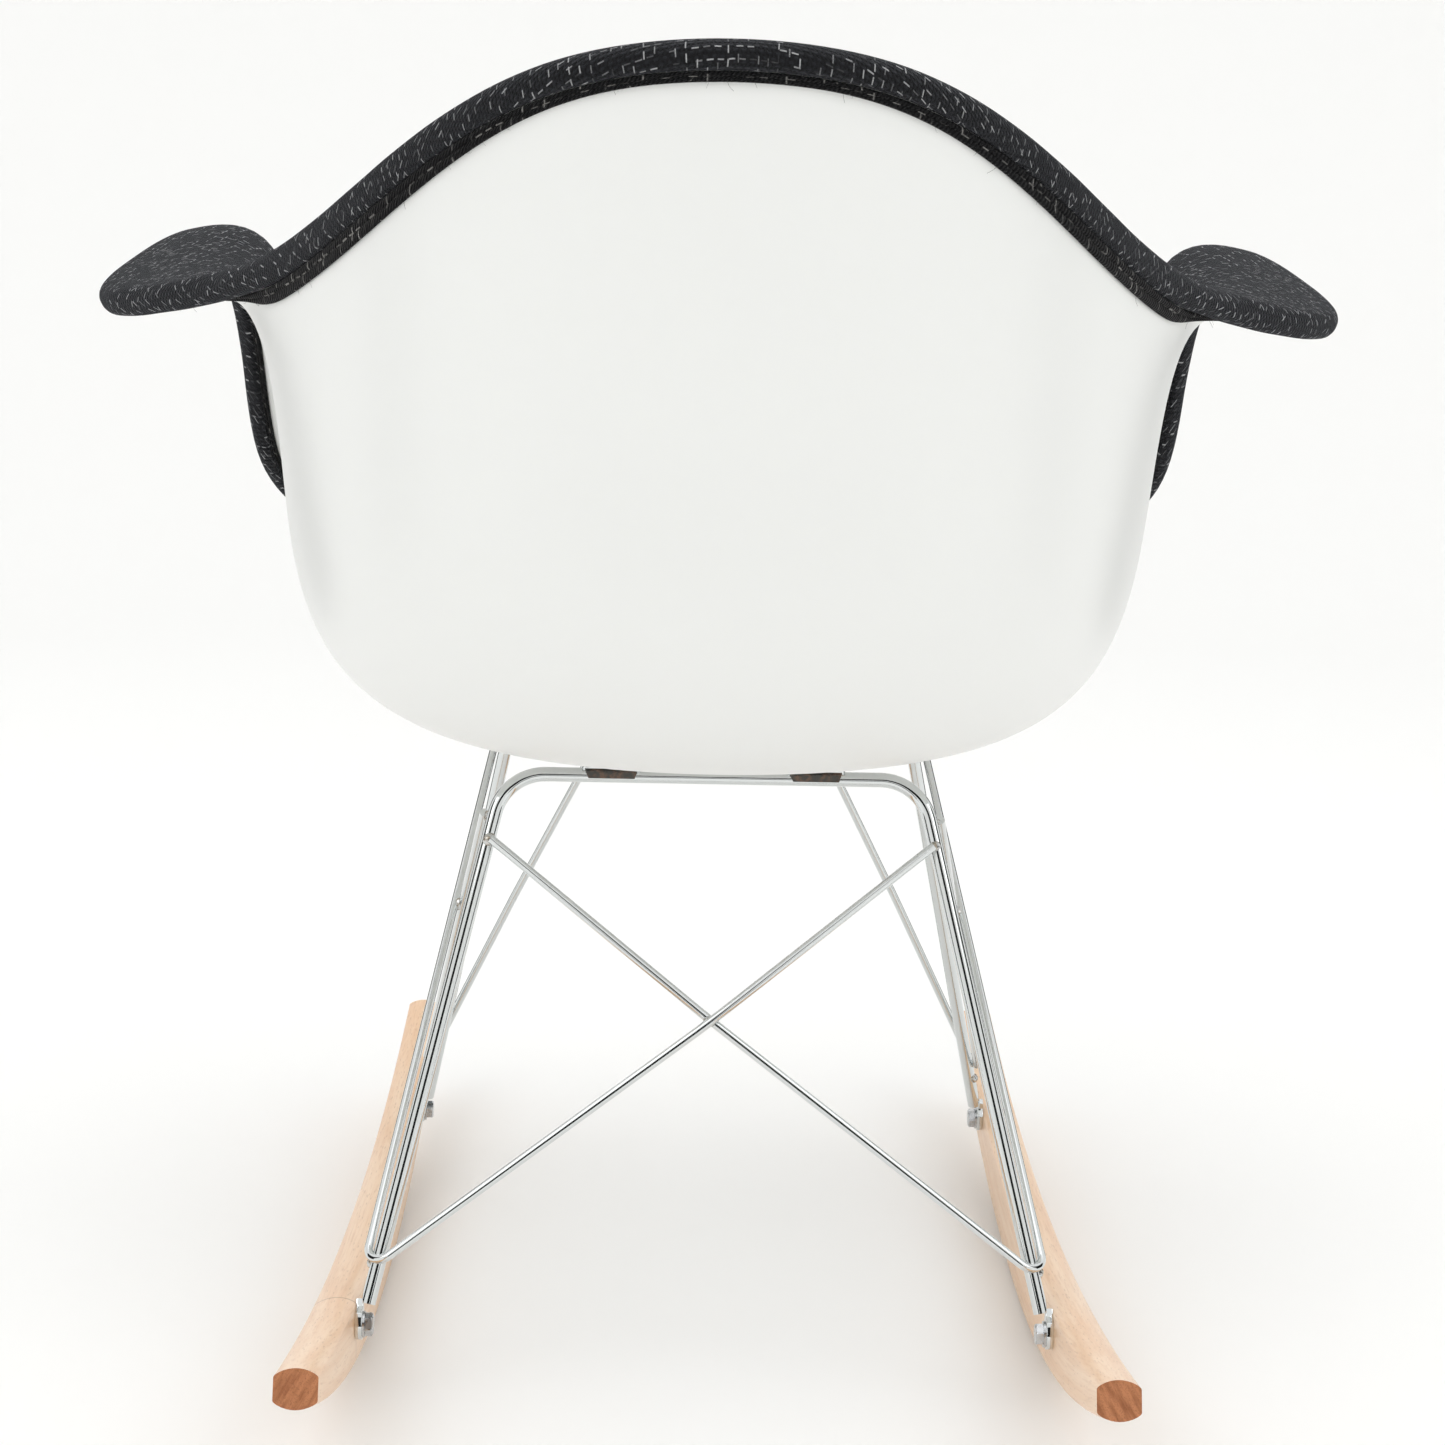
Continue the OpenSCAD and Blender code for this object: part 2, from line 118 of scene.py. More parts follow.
# ---- Camera: its place in metres, its yaw, pitch and roll in degrees, and its lens in millimetres ----
CAMERA_AT = (0.0198, 1.6007, 0.5854)
CAMERA_ANGLES = (-0.905, -9.70, 1.177)
CAMERA_LENS = 75.24


# ---------------------------------------------------------------- shell surface
def spline_weights(t, slope=False):
    """Uniform cubic B-spline weights at t in 0..1, or their slopes."""
    if slope:
        w = (-3 * (1 - t) ** 2, 9 * t * t - 12 * t, -9 * t * t + 6 * t + 3, 3 * t * t)
    else:
        w = ((1 - t) ** 3, 3 * t**3 - 6 * t * t + 4, 3 * (t + t * t - t**3) + 1, t**3)
    return np.stack(w, -1) / 6


def control_net():
    """The rings as whole loops, with the rows that let the surface start and end cleanly."""
    loops = [np.array(ring + [(-x, y, z) for x, y, z in ring[-2:0:-1]], float) for ring in RINGS]
    middle = np.tile(np.array(SEAT_MIDDLE, float), (COLUMNS, 1))
    first = np.roll(loops[0], COLUMNS // 2, axis=0)
    return np.array([first, middle] + loops + [2 * loops[-1] - loops[-2]]) + np.array(SHELL_AT)


NET = control_net()


def shell_face(u, v):
    """Points, ways outward along the meridian and normals of the shell's outer face, in millimetres."""
    u, v = np.broadcast_arrays(np.asarray(u, float), np.asarray(v, float))
    shape = u.shape
    u, v = u.ravel(), v.ravel() % COLUMNS
    k = np.clip(np.floor(u).astype(int), 0, SPANS - 1)
    m = np.floor(v).astype(int)
    rows = k[:, None] + np.arange(4)
    cols = (m[:, None] + np.arange(-1, 3)) % COLUMNS
    patch = NET[rows[:, :, None], cols[:, None, :]]
    wu, wv = spline_weights(u - k), spline_weights(v - m)
    su, sv = spline_weights(u - k, True), spline_weights(v - m, True)
    point = np.einsum("na,nb,nabk->nk", wu, wv, patch)
    along = np.einsum("na,nb,nabk->nk", su, wv, patch)
    round_ = np.einsum("na,nb,nabk->nk", wu, sv, patch)
    normal = np.cross(round_, along)
    normal /= np.maximum(np.linalg.norm(normal, axis=1), 1e-9)[:, None]
    return point.reshape(*shape, 3), along.reshape(*shape, 3), normal.reshape(*shape, 3)


def shoulder_wrap(v):
    """How much further the cloth wraps down behind the rim; most at each shoulder."""
    away = np.minimum(np.abs(v - SHOULDER), np.abs(COLUMNS - v - SHOULDER))
    return 1 + SHOULDER_WRAP * (1 + np.cos(math.pi * np.minimum(away / SHOULDER_REACH, 1))) / 2


def past_rim(out, off, v):
    """Points that lie out past the rim and off the outer face, in millimetres, for each column v."""
    out, off = np.asarray(out, float), np.asarray(off, float)
    _, along, _ = shell_face(np.full(len(v), SPANS), v)
    pitch = np.linalg.norm(along, axis=1)
    u = SPANS + np.minimum(out, 0)[:, None] * shoulder_wrap(v) / pitch
    base, _, here = shell_face(u, np.broadcast_to(v, u.shape))
    ahead = along / pitch[:, None]
    return base + np.maximum(out, 0)[:, None, None] * ahead + off[:, None, None] * here


def smooth_path(points, count):
    """A Catmull-Rom curve through 2-D points, evenly spaced by length."""
    p = np.array([points[0]] + list(points) + [points[-1]], float)
    out = []
    for i in range(1, len(p) - 2):
        for t in np.linspace(0, 1, 16, endpoint=False):
            a, b, c, d = p[i - 1], p[i], p[i + 1], p[i + 2]
            out.append(0.5 * (2 * b + (c - a) * t + (2 * a - 5 * b + 4 * c - d) * t * t
                              + (3 * b - a - 3 * c + d) * t**3))
    out = np.array(out + [p[-1]])
    length = np.r_[0, np.cumsum(np.linalg.norm(np.diff(out, axis=0), axis=1))]
    even = np.linspace(0, length[-1], count)
    return np.stack([np.interp(even, length, out[:, i]) for i in range(2)], 1)


# ---------------------------------------------------------------- making objects
def clear_piece(name):
    """Removes an earlier piece of this name, so that a button can be pressed again."""
    old = bpy.data.objects.get(name)
    if old is not None:
        bpy.data.objects.remove(old)


def new_piece(name, points_mm, faces, materials, face_slots=None):
    """A mesh object from points in millimetres and the faces given, shaded smooth."""
    clear_piece(name)
    mesh = bpy.data.meshes.new(name)
    mesh.from_pydata([tuple(p) for p in np.asarray(points_mm, float) * MM], [], faces)
    for material in materials:
        mesh.materials.append(material)
    if face_slots is not None:
        mesh.polygons.foreach_set("material_index", np.asarray(face_slots, np.int32))
    mesh.polygons.foreach_set("use_smooth", np.ones(len(mesh.polygons), bool))
    mesh.validate()
    mesh.update()
    obj = bpy.data.objects.new(name, mesh)
    bpy.context.scene.collection.objects.link(obj)
    return obj


def settle_piece(obj, slot, *nodes):
    """Ties a finished piece to the frame: it rides on the one body and stands for its CAD nodes."""
    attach(obj, "root")
    if nodes:
        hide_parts(*nodes)
    return obj


def ring_faces(rows, columns, first=0, turn=False):
    """Quads between closed rings of points, laid row after row."""
    faces = []
    for i in range(rows - 1):
        a = first + i * columns
        for j in range(columns):
            q = (a + j, a + (j + 1) % columns, a + columns + (j + 1) % columns, a + columns + j)
            faces.append(q[::-1] if turn else q)
    return faces


def set_uv(obj, name, uv):
    """A UV map from one value per vertex."""
    layer = obj.data.uv_layers.new(name=name)
    index = np.empty(len(obj.data.loops), np.int32)
    obj.data.loops.foreach_get("vertex_index", index)
    layer.data.foreach_set("uv", np.asarray(uv, np.float32)[index].ravel())


def set_vector(obj, name, values):
    """A vector attribute on the points."""
    layer = obj.data.attributes.new(name, "FLOAT_VECTOR", "POINT")
    layer.data.foreach_set("vector", np.asarray(values, np.float32).ravel())


# ---------------------------------------------------------------- node trees
def add_node(tree, kind, links=None, **settings):
    """One node in any tree; settings are its own properties and links its inputs' values or sources."""
    node = tree.nodes.new(kind)
    for key, value in settings.items():
        setattr(node, key, value)
    for key, value in (links or {}).items():
        socket = node.inputs[key]
        if isinstance(value, bpy.types.NodeSocket):
            tree.links.new(value, socket)
        else:
            socket.default_value = value
    return node


def srgb(code):
    """A hex colour as linear RGBA."""
    parts = [int(code[i:i + 2], 16) / 255 for i in (1, 3, 5)]
    return tuple(c / 12.92 if c <= 0.04045 else ((c + 0.055) / 1.055) ** 2.4 for c in parts) + (1.0,)


def chosen(name):
    """One of the colours set in the panel."""
    return tuple(getattr(bpy.context.scene.armchair_colours, name))


def start_material(name, links=None):
    """A material emptied and given its shader, and the tree to add to."""
    material = bpy.data.materials.get(name) or bpy.data.materials.new(name)
    material.use_nodes = True
    tree = material.node_tree
    tree.nodes.clear()
    shader = add_node(tree, "ShaderNodeBsdfPrincipled", links)
    out = add_node(tree, "ShaderNodeOutputMaterial")
    tree.links.new(shader.outputs["BSDF"], out.inputs["Surface"])
    return material, tree, shader


# ---------------------------------------------------------------- materials
def material_polypropylene():
    """Injection-moulded white polypropylene, satin, with the slightest flow waviness of a big moulding."""
    material, tree, shader = start_material("Moulded white polypropylene", {
        "Base Color": chosen("shell"), "Roughness": 0.34, "IOR": 1.49,
        "Subsurface Weight": 0.06, "Subsurface Radius": (0.004, 0.004, 0.0035), "Subsurface Scale": 1.0})
    where = add_node(tree, "ShaderNodeTexCoord").outputs["Object"]
    fine = add_node(tree, "ShaderNodeTexNoise",
                    {"Vector": where, "Scale": 1400.0, "Detail": 2.0}).outputs["Fac"]
    slow = add_node(tree, "ShaderNodeTexNoise",
                    {"Vector": where, "Scale": 9.0, "Detail": 1.0}).outputs["Fac"]
    height = add_node(tree, "ShaderNodeMath", {0: fine, 1: 0.012, 2: slow},
                      operation="MULTIPLY_ADD").outputs[0]
    bump = add_node(tree, "ShaderNodeBump", {"Height": height, "Distance": 0.0006, "Strength": 0.5})
    tree.links.new(bump.outputs["Normal"], shader.inputs["Normal"])
    return material


def tweed_group():
    """The tweed's weave as a node group: from flat cloth places in metres to thread height and flecks.
    A plain weave of 2.4 mm ribs of doubled yarn, with a pale slub dash about every 6 mm each way."""
    old = bpy.data.node_groups.get("Tweed weave")
    if old is not None:
        return old
    group = bpy.data.node_groups.new("Tweed weave", "ShaderNodeTree")
    group.interface.new_socket("Cloth", in_out="INPUT", socket_type="NodeSocketVector")
    group.interface.new_socket("Height", in_out="OUTPUT", socket_type="NodeSocketFloat")
    group.interface.new_socket("Fleck", in_out="OUTPUT", socket_type="NodeSocketFloat")
    group.interface.new_socket("Thread", in_out="OUTPUT", socket_type="NodeSocketFloat")
    cloth = add_node(group, "NodeGroupInput").outputs["Cloth"]
    wander = add_node(group, "ShaderNodeTexNoise", {"Vector": cloth, "Scale": 60.0, "Detail": 2.0})
    push = add_node(group, "ShaderNodeVectorMath",
                    {0: wander.outputs["Color"], 1: (0.5, 0.5, 0.5)}, operation="SUBTRACT").outputs[0]
    small = add_node(group, "ShaderNodeVectorMath", {0: push, "Scale": 0.0022},
                     operation="SCALE").outputs[0]
    place = add_node(group, "ShaderNodeVectorMath", {0: cloth, 1: small}).outputs[0]
    parts = add_node(group, "ShaderNodeSeparateXYZ", {0: place})
    # Ribs of both thread directions, each rising where the other dips
    pitch, fleck_row, fleck_step = 0.0024, 0.0057, 0.0061
    waves = []
    for axis in ("X", "Y"):
        turn = add_node(group, "ShaderNodeMath",
                        {0: parts.outputs[axis], 1: math.pi / pitch},
                        operation="MULTIPLY").outputs[0]
        waves.append(add_node(group, "ShaderNodeMath", {0: turn}, operation="SINE").outputs[0])
    ribs_x = add_node(group, "ShaderNodeMath", {0: waves[0]}, operation="ABSOLUTE").outputs[0]
    ribs_y = add_node(group, "ShaderNodeMath", {0: waves[1]}, operation="ABSOLUTE").outputs[0]
    both = add_node(group, "ShaderNodeMath", {0: waves[0], 1: waves[1]}, operation="MULTIPLY").outputs[0]
    over = add_node(group, "ShaderNodeMath", {0: both, 1: 0.3, 2: 0.7},
                    operation="MULTIPLY_ADD").outputs[0]
    weft = add_node(group, "ShaderNodeMath", {0: ribs_x, 1: 0.6}, operation="MULTIPLY").outputs[0]
    warp = add_node(group, "ShaderNodeMath", {0: ribs_y, 1: over}, operation="MULTIPLY").outputs[0]
    rib = add_node(group, "ShaderNodeMath", {0: weft, 1: warp}, operation="MAXIMUM").outputs[0]
    fibre = add_node(group, "ShaderNodeTexNoise",
                     {"Vector": cloth, "Scale": 2600.0, "Detail": 3.0, "Roughness": 0.7}).outputs["Fac"]
    height = add_node(group, "ShaderNodeMath", {0: fibre, 1: 0.7, 2: rib},
                      operation="MULTIPLY_ADD").outputs[0]
    # Flecks: short dashes on a loose grid, each present or not and bright or dim by chance
    flecks = []
    for along, across, seed in (("X", "Y", 3.0), ("Y", "X", 11.0)):
        row = add_node(group, "ShaderNodeMath", {0: parts.outputs[across], 1: fleck_row},
                       operation="DIVIDE").outputs[0]
        line = add_node(group, "ShaderNodeMath", {0: row}, operation="FLOOR").outputs[0]
        part = add_node(group, "ShaderNodeMath", {0: row, 1: line}, operation="SUBTRACT").outputs[0]
        part = add_node(group, "ShaderNodeMath", {0: part, 1: 0.5}, operation="SUBTRACT").outputs[0]
        off = add_node(group, "ShaderNodeMath", {0: part}, operation="ABSOLUTE").outputs[0]
        code = add_node(group, "ShaderNodeMath", {0: line, 1: seed}, operation="ADD").outputs[0]
        shift = add_node(group, "ShaderNodeTexWhiteNoise", {"W": code},
                         noise_dimensions="1D").outputs["Value"]
        run = add_node(group, "ShaderNodeMath", {0: parts.outputs[along], 1: fleck_step},
                       operation="DIVIDE").outputs[0]
        step = add_node(group, "ShaderNodeMath", {0: run, 1: shift}, operation="ADD").outputs[0]
        cell = add_node(group, "ShaderNodeMath", {0: step}, operation="FLOOR").outputs[0]
        part = add_node(group, "ShaderNodeMath", {0: step, 1: cell}, operation="SUBTRACT").outputs[0]
        part = add_node(group, "ShaderNodeMath", {0: part, 1: 0.5}, operation="SUBTRACT").outputs[0]
        slide = add_node(group, "ShaderNodeMath", {0: part}, operation="ABSOLUTE").outputs[0]
        key = add_node(group, "ShaderNodeCombineXYZ", {"X": cell, "Y": line, "Z": seed}).outputs[0]
        luck = add_node(group, "ShaderNodeTexWhiteNoise", {"Vector": key},
                        noise_dimensions="3D").outputs["Value"]
        long_ = add_node(group, "ShaderNodeMapRange",
                         {"Value": slide, "From Min": 0.26, "From Max": 0.34, "To Min": 1.0,
                          "To Max": 0.0}, interpolation_type="SMOOTHSTEP").outputs["Result"]
        thin = add_node(group, "ShaderNodeMapRange",
                        {"Value": off, "From Min": 0.045, "From Max": 0.075, "To Min": 1.0,
                         "To Max": 0.0}, interpolation_type="SMOOTHSTEP").outputs["Result"]
        there = add_node(group, "ShaderNodeMapRange",
                         {"Value": luck, "From Min": 0.42, "From Max": 1.08},
                         interpolation_type="SMOOTHSTEP").outputs["Result"]
        dash = add_node(group, "ShaderNodeMath", {0: long_, 1: thin}, operation="MULTIPLY").outputs[0]
        flecks.append(add_node(group, "ShaderNodeMath", {0: dash, 1: there},
                               operation="MULTIPLY").outputs[0])
    fleck = add_node(group, "ShaderNodeMath", {0: flecks[0], 1: flecks[1]},
                     operation="MAXIMUM").outputs[0]
    fray = add_node(group, "ShaderNodeMapRange", {"Value": fibre, "From Min": 0.3, "From Max": 0.55},
                    interpolation_type="SMOOTHSTEP").outputs["Result"]
    frayed = add_node(group, "ShaderNodeMath", {0: fleck, 1: fray}, operation="MULTIPLY",
                      use_clamp=True).outputs[0]
    out = add_node(group, "NodeGroupOutput")
    group.links.new(height, out.inputs["Height"])
    group.links.new(frayed, out.inputs["Fleck"])
    group.links.new(rib, out.inputs["Thread"])
    return group


def material_tweed():
    """Charcoal wool tweed with a soft nap, plain-woven from thick black yarn with pale slubs."""
    material, tree, shader = start_material("Charcoal wool tweed", {
        "Roughness": 0.92, "IOR": 1.45, "Specular IOR Level": 0.25, "Sheen Weight": 0.2,
        "Sheen Roughness": 0.45, "Sheen Tint": srgb("#c9cdd6")})
    cloth = add_node(tree, "ShaderNodeUVMap", uv_map="Cloth").outputs["UV"]
    weave = add_node(tree, "ShaderNodeGroup", {"Cloth": cloth}, node_tree=tweed_group())
    # Painted shade and highlight of the weave: the dips between the ribs are painted near-black and the rib
    # tops in the yarn colour
    painted_rib_shade = add_node(tree, "ShaderNodeMapRange",
                    {"Value": weave.outputs["Thread"], "From Min": 0.3, "From Max": 0.95},
                    interpolation_type="SMOOTHSTEP").outputs["Result"]
    dark = add_node(tree, "ShaderNodeMix", {0: painted_rib_shade, 6: srgb("#020203"), 7: chosen("yarn")},
                    data_type="RGBA").outputs[2]
    patches = add_node(tree, "ShaderNodeTexNoise",
                       {"Vector": cloth, "Scale": 260.0, "Detail": 3.0, "Roughness": 0.6}).outputs["Fac"]
    uneven = add_node(tree, "ShaderNodeMapRange", {"Value": patches, "From Min": 0.35, "From Max": 0.7},
                      interpolation_type="SMOOTHSTEP").outputs["Result"]
    share = add_node(tree, "ShaderNodeMath", {0: uneven, 1: 0.22}, operation="MULTIPLY").outputs[0]
    dark = add_node(tree, "ShaderNodeMix", {0: share, 6: dark, 7: srgb("#1a1b1f")},
                    data_type="RGBA").outputs[2]
    colour = add_node(tree, "ShaderNodeMix", {0: weave.outputs["Fleck"], 6: dark, 7: chosen("slub")},
                      data_type="RGBA").outputs[2]
    tree.links.new(colour, shader.inputs["Base Color"])
    bump = add_node(tree, "ShaderNodeBump",
                    {"Height": weave.outputs["Height"], "Distance": 0.0011, "Strength": 1.0})
    tree.links.new(bump.outputs["Normal"], shader.inputs["Normal"])
    return material


def material_welt():
    """Twisted black cord sewn round the cover's edge, a little paler at its loose fibres."""
    material, tree, shader = start_material("Twisted black welt cord", {
        "Roughness": 0.9, "IOR": 1.45, "Specular IOR Level": 0.25, "Sheen Weight": 0.07,
        "Sheen Roughness": 0.4})
    cloth = add_node(tree, "ShaderNodeUVMap", uv_map="Cloth").outputs["UV"]
    parts = add_node(tree, "ShaderNodeSeparateXYZ", {0: cloth})
    lean = add_node(tree, "ShaderNodeMath", {0: parts.outputs["Y"], 1: 0.9},
                    operation="MULTIPLY").outputs[0]
    slant = add_node(tree, "ShaderNodeMath", {0: parts.outputs["X"], 1: lean},
                     operation="ADD").outputs[0]
    turn = add_node(tree, "ShaderNodeMath", {0: slant, 1: 2 * math.pi / 0.0021},
                    operation="MULTIPLY").outputs[0]
    wave = add_node(tree, "ShaderNodeMath", {0: turn}, operation="SINE").outputs[0]
    ply = add_node(tree, "ShaderNodeMath", {0: wave, 1: 0.5, 2: 0.5},
                   operation="MULTIPLY_ADD").outputs[0]
    fibre = add_node(tree, "ShaderNodeTexNoise",
                     {"Vector": cloth, "Scale": 1800.0, "Detail": 3.0, "Roughness": 0.7}).outputs["Fac"]
    # Painted shade: the grooves between the cord's plies are painted near-black and the ply tops in the cord
    # colour
    share = add_node(tree, "ShaderNodeMapRange", {"Value": ply, "From Min": 0.2, "From Max": 0.9},
                     interpolation_type="SMOOTHSTEP").outputs["Result"]
    colour = add_node(tree, "ShaderNodeMix", {0: share, 6: srgb("#060607"), 7: chosen("cord")},
                      data_type="RGBA").outputs[2]
    share = add_node(tree, "ShaderNodeMapRange", {"Value": fibre, "From Min": 0.58, "From Max": 0.75},
                     interpolation_type="SMOOTHSTEP").outputs["Result"]
    colour = add_node(tree, "ShaderNodeMix", {0: share, 6: colour, 7: srgb("#2b2a2a")},
                      data_type="RGBA").outputs[2]
    # The pale slubs of the cloth's own cut edge show through between the two cords
    weave = add_node(tree, "ShaderNodeGroup", {"Cloth": cloth}, node_tree=tweed_group())
    share = add_node(tree, "ShaderNodeMath", {0: weave.outputs["Fleck"], 1: 0.6},
                     operation="MULTIPLY").outputs[0]
    colour = add_node(tree, "ShaderNodeMix", {0: share, 6: colour, 7: srgb("#c8c6c2")},
                      data_type="RGBA").outputs[2]
    tree.links.new(colour, shader.inputs["Base Color"])
    relief = add_node(tree, "ShaderNodeMath", {0: fibre, 1: 0.6, 2: ply},
                      operation="MULTIPLY_ADD").outputs[0]
    bump = add_node(tree, "ShaderNodeBump", {"Height": relief, "Distance": 0.0006, "Strength": 0.9})
    tree.links.new(bump.outputs["Normal"], shader.inputs["Normal"])
    return material


def material_chrome():
    """Bright chrome plate on drawn steel rod, buffed before plating."""
    material, tree, shader = start_material("Chrome-plated steel rod", {
        "Base Color": chosen("plate"), "Metallic": 1.0, "Roughness": 0.05})
    where = add_node(tree, "ShaderNodeTexCoord").outputs["Object"]
    smear = add_node(tree, "ShaderNodeTexNoise",
                     {"Vector": where, "Scale": 55.0, "Detail": 3.0}).outputs["Fac"]
    tree.links.new(add_node(tree, "ShaderNodeMapRange",
                            {"Value": smear, "From Min": 0.3, "From Max": 0.8, "To Min": 0.03,
                             "To Max": 0.07}, interpolation_type="SMOOTHSTEP").outputs["Result"],
                   shader.inputs["Roughness"])
    return material


def material_weld():
    """Plated resistance weld: chrome over a rough bead, a little straw-coloured from the heat."""
    material, tree, shader = start_material("Plated weld bead", {"Metallic": 1.0, "Roughness": 0.2})
    where = add_node(tree, "ShaderNodeTexCoord").outputs["Object"]
    patch = add_node(tree, "ShaderNodeTexNoise",
                     {"Vector": where, "Scale": 420.0, "Detail": 3.0, "Roughness": 0.6}).outputs["Fac"]
    share = add_node(tree, "ShaderNodeMapRange", {"Value": patch, "From Min": 0.4, "From Max": 0.65},
                     interpolation_type="SMOOTHSTEP").outputs["Result"]
    colour = add_node(tree, "ShaderNodeMix", {0: share, 6: srgb("#cfd0d0"), 7: srgb("#a69c8c")},
                      data_type="RGBA").outputs[2]
    tree.links.new(colour, shader.inputs["Base Color"])
    bump = add_node(tree, "ShaderNodeBump", {"Height": patch, "Distance": 0.0006, "Strength": 0.7})
    tree.links.new(bump.outputs["Normal"], shader.inputs["Normal"])
    return material


def material_tongue():
    """The plates' folded tongues: chrome plate painted dark, in mottled grey and brown patches, as a painted
    dark reflection.
    """
    material, tree, shader = start_material("Heat-dulled chrome plate", {"Metallic": 1.0, "Roughness": 0.22})
    where = add_node(tree, "ShaderNodeTexCoord").outputs["Object"]
    patch = add_node(tree, "ShaderNodeTexNoise",
                     {"Vector": where, "Scale": 260.0, "Detail": 3.0, "Roughness": 0.6}).outputs["Fac"]
    share = add_node(tree, "ShaderNodeMapRange", {"Value": patch, "From Min": 0.42, "From Max": 0.62},
                     interpolation_type="SMOOTHSTEP").outputs["Result"]
    # Painted dark reflection: both colours are far darker than the plate, standing in for the dark that the
    # lips reflect
    colour = add_node(tree, "ShaderNodeMix", {0: share, 6: srgb("#4a4946"), 7: srgb("#66554b")},
                      data_type="RGBA").outputs[2]
    tree.links.new(colour, shader.inputs["Base Color"])
    bump = add_node(tree, "ShaderNodeBump", {"Height": patch, "Distance": 0.0004, "Strength": 0.6})
    tree.links.new(bump.outputs["Normal"], shader.inputs["Normal"])
    return material


def material_zinc():
    """Bright zinc plate on cold-headed steel fasteners."""
    material, tree, shader = start_material("Zinc-plated steel", {
        "Base Color": srgb("#c4c6c8"), "Metallic": 1.0, "Roughness": 0.24})
    where = add_node(tree, "ShaderNodeTexCoord").outputs["Object"]
    mottle = add_node(tree, "ShaderNodeTexNoise",
                      {"Vector": where, "Scale": 300.0, "Detail": 3.0}).outputs["Fac"]
    tree.links.new(add_node(tree, "ShaderNodeMapRange",
                            {"Value": mottle, "From Min": 0.3, "From Max": 0.7, "To Min": 0.18,
                             "To Max": 0.34}, interpolation_type="SMOOTHSTEP").outputs["Result"],
                   shader.inputs["Roughness"])
    return material


def material_brass():
    """Turned brass threaded inserts."""
    material, tree, shader = start_material("Turned brass", {
        "Base Color": srgb("#c79a4b"), "Metallic": 1.0, "Roughness": 0.25})
    where = add_node(tree, "ShaderNodeTexCoord").outputs["Object"]
    relief = add_node(tree, "ShaderNodeTexNoise",
                      {"Vector": where, "Scale": 1500.0, "Detail": 2.0}).outputs["Fac"]
    bump = add_node(tree, "ShaderNodeBump", {"Height": relief, "Distance": 0.0001, "Strength": 0.4})
    tree.links.new(bump.outputs["Normal"], shader.inputs["Normal"])
    return material


def material_rubber():
    """Moulded black rubber spacers."""
    material, tree, shader = start_material("Moulded black rubber", {
        "Base Color": srgb("#1b1b1c"), "Roughness": 0.7, "IOR": 1.5})
    where = add_node(tree, "ShaderNodeTexCoord").outputs["Object"]
    relief = add_node(tree, "ShaderNodeTexNoise",
                      {"Vector": where, "Scale": 900.0, "Detail": 2.0}).outputs["Fac"]
    bump = add_node(tree, "ShaderNodeBump", {"Height": relief, "Distance": 0.0002, "Strength": 0.4})
    tree.links.new(bump.outputs["Normal"], shader.inputs["Normal"])
    return material


def material_foam():
    """Thin flexible polyurethane foam, glued between the shell and the cloth."""
    material, tree, shader = start_material("Grey polyurethane foam", {
        "Base Color": srgb("#6f7074"), "Roughness": 0.95, "IOR": 1.45})
    where = add_node(tree, "ShaderNodeTexCoord").outputs["Object"]
    relief = add_node(tree, "ShaderNodeTexNoise",
                      {"Vector": where, "Scale": 1200.0, "Detail": 3.0}).outputs["Fac"]
    bump = add_node(tree, "ShaderNodeBump", {"Height": relief, "Distance": 0.0004, "Strength": 0.8})
    tree.links.new(bump.outputs["Normal"], shader.inputs["Normal"])
    return material


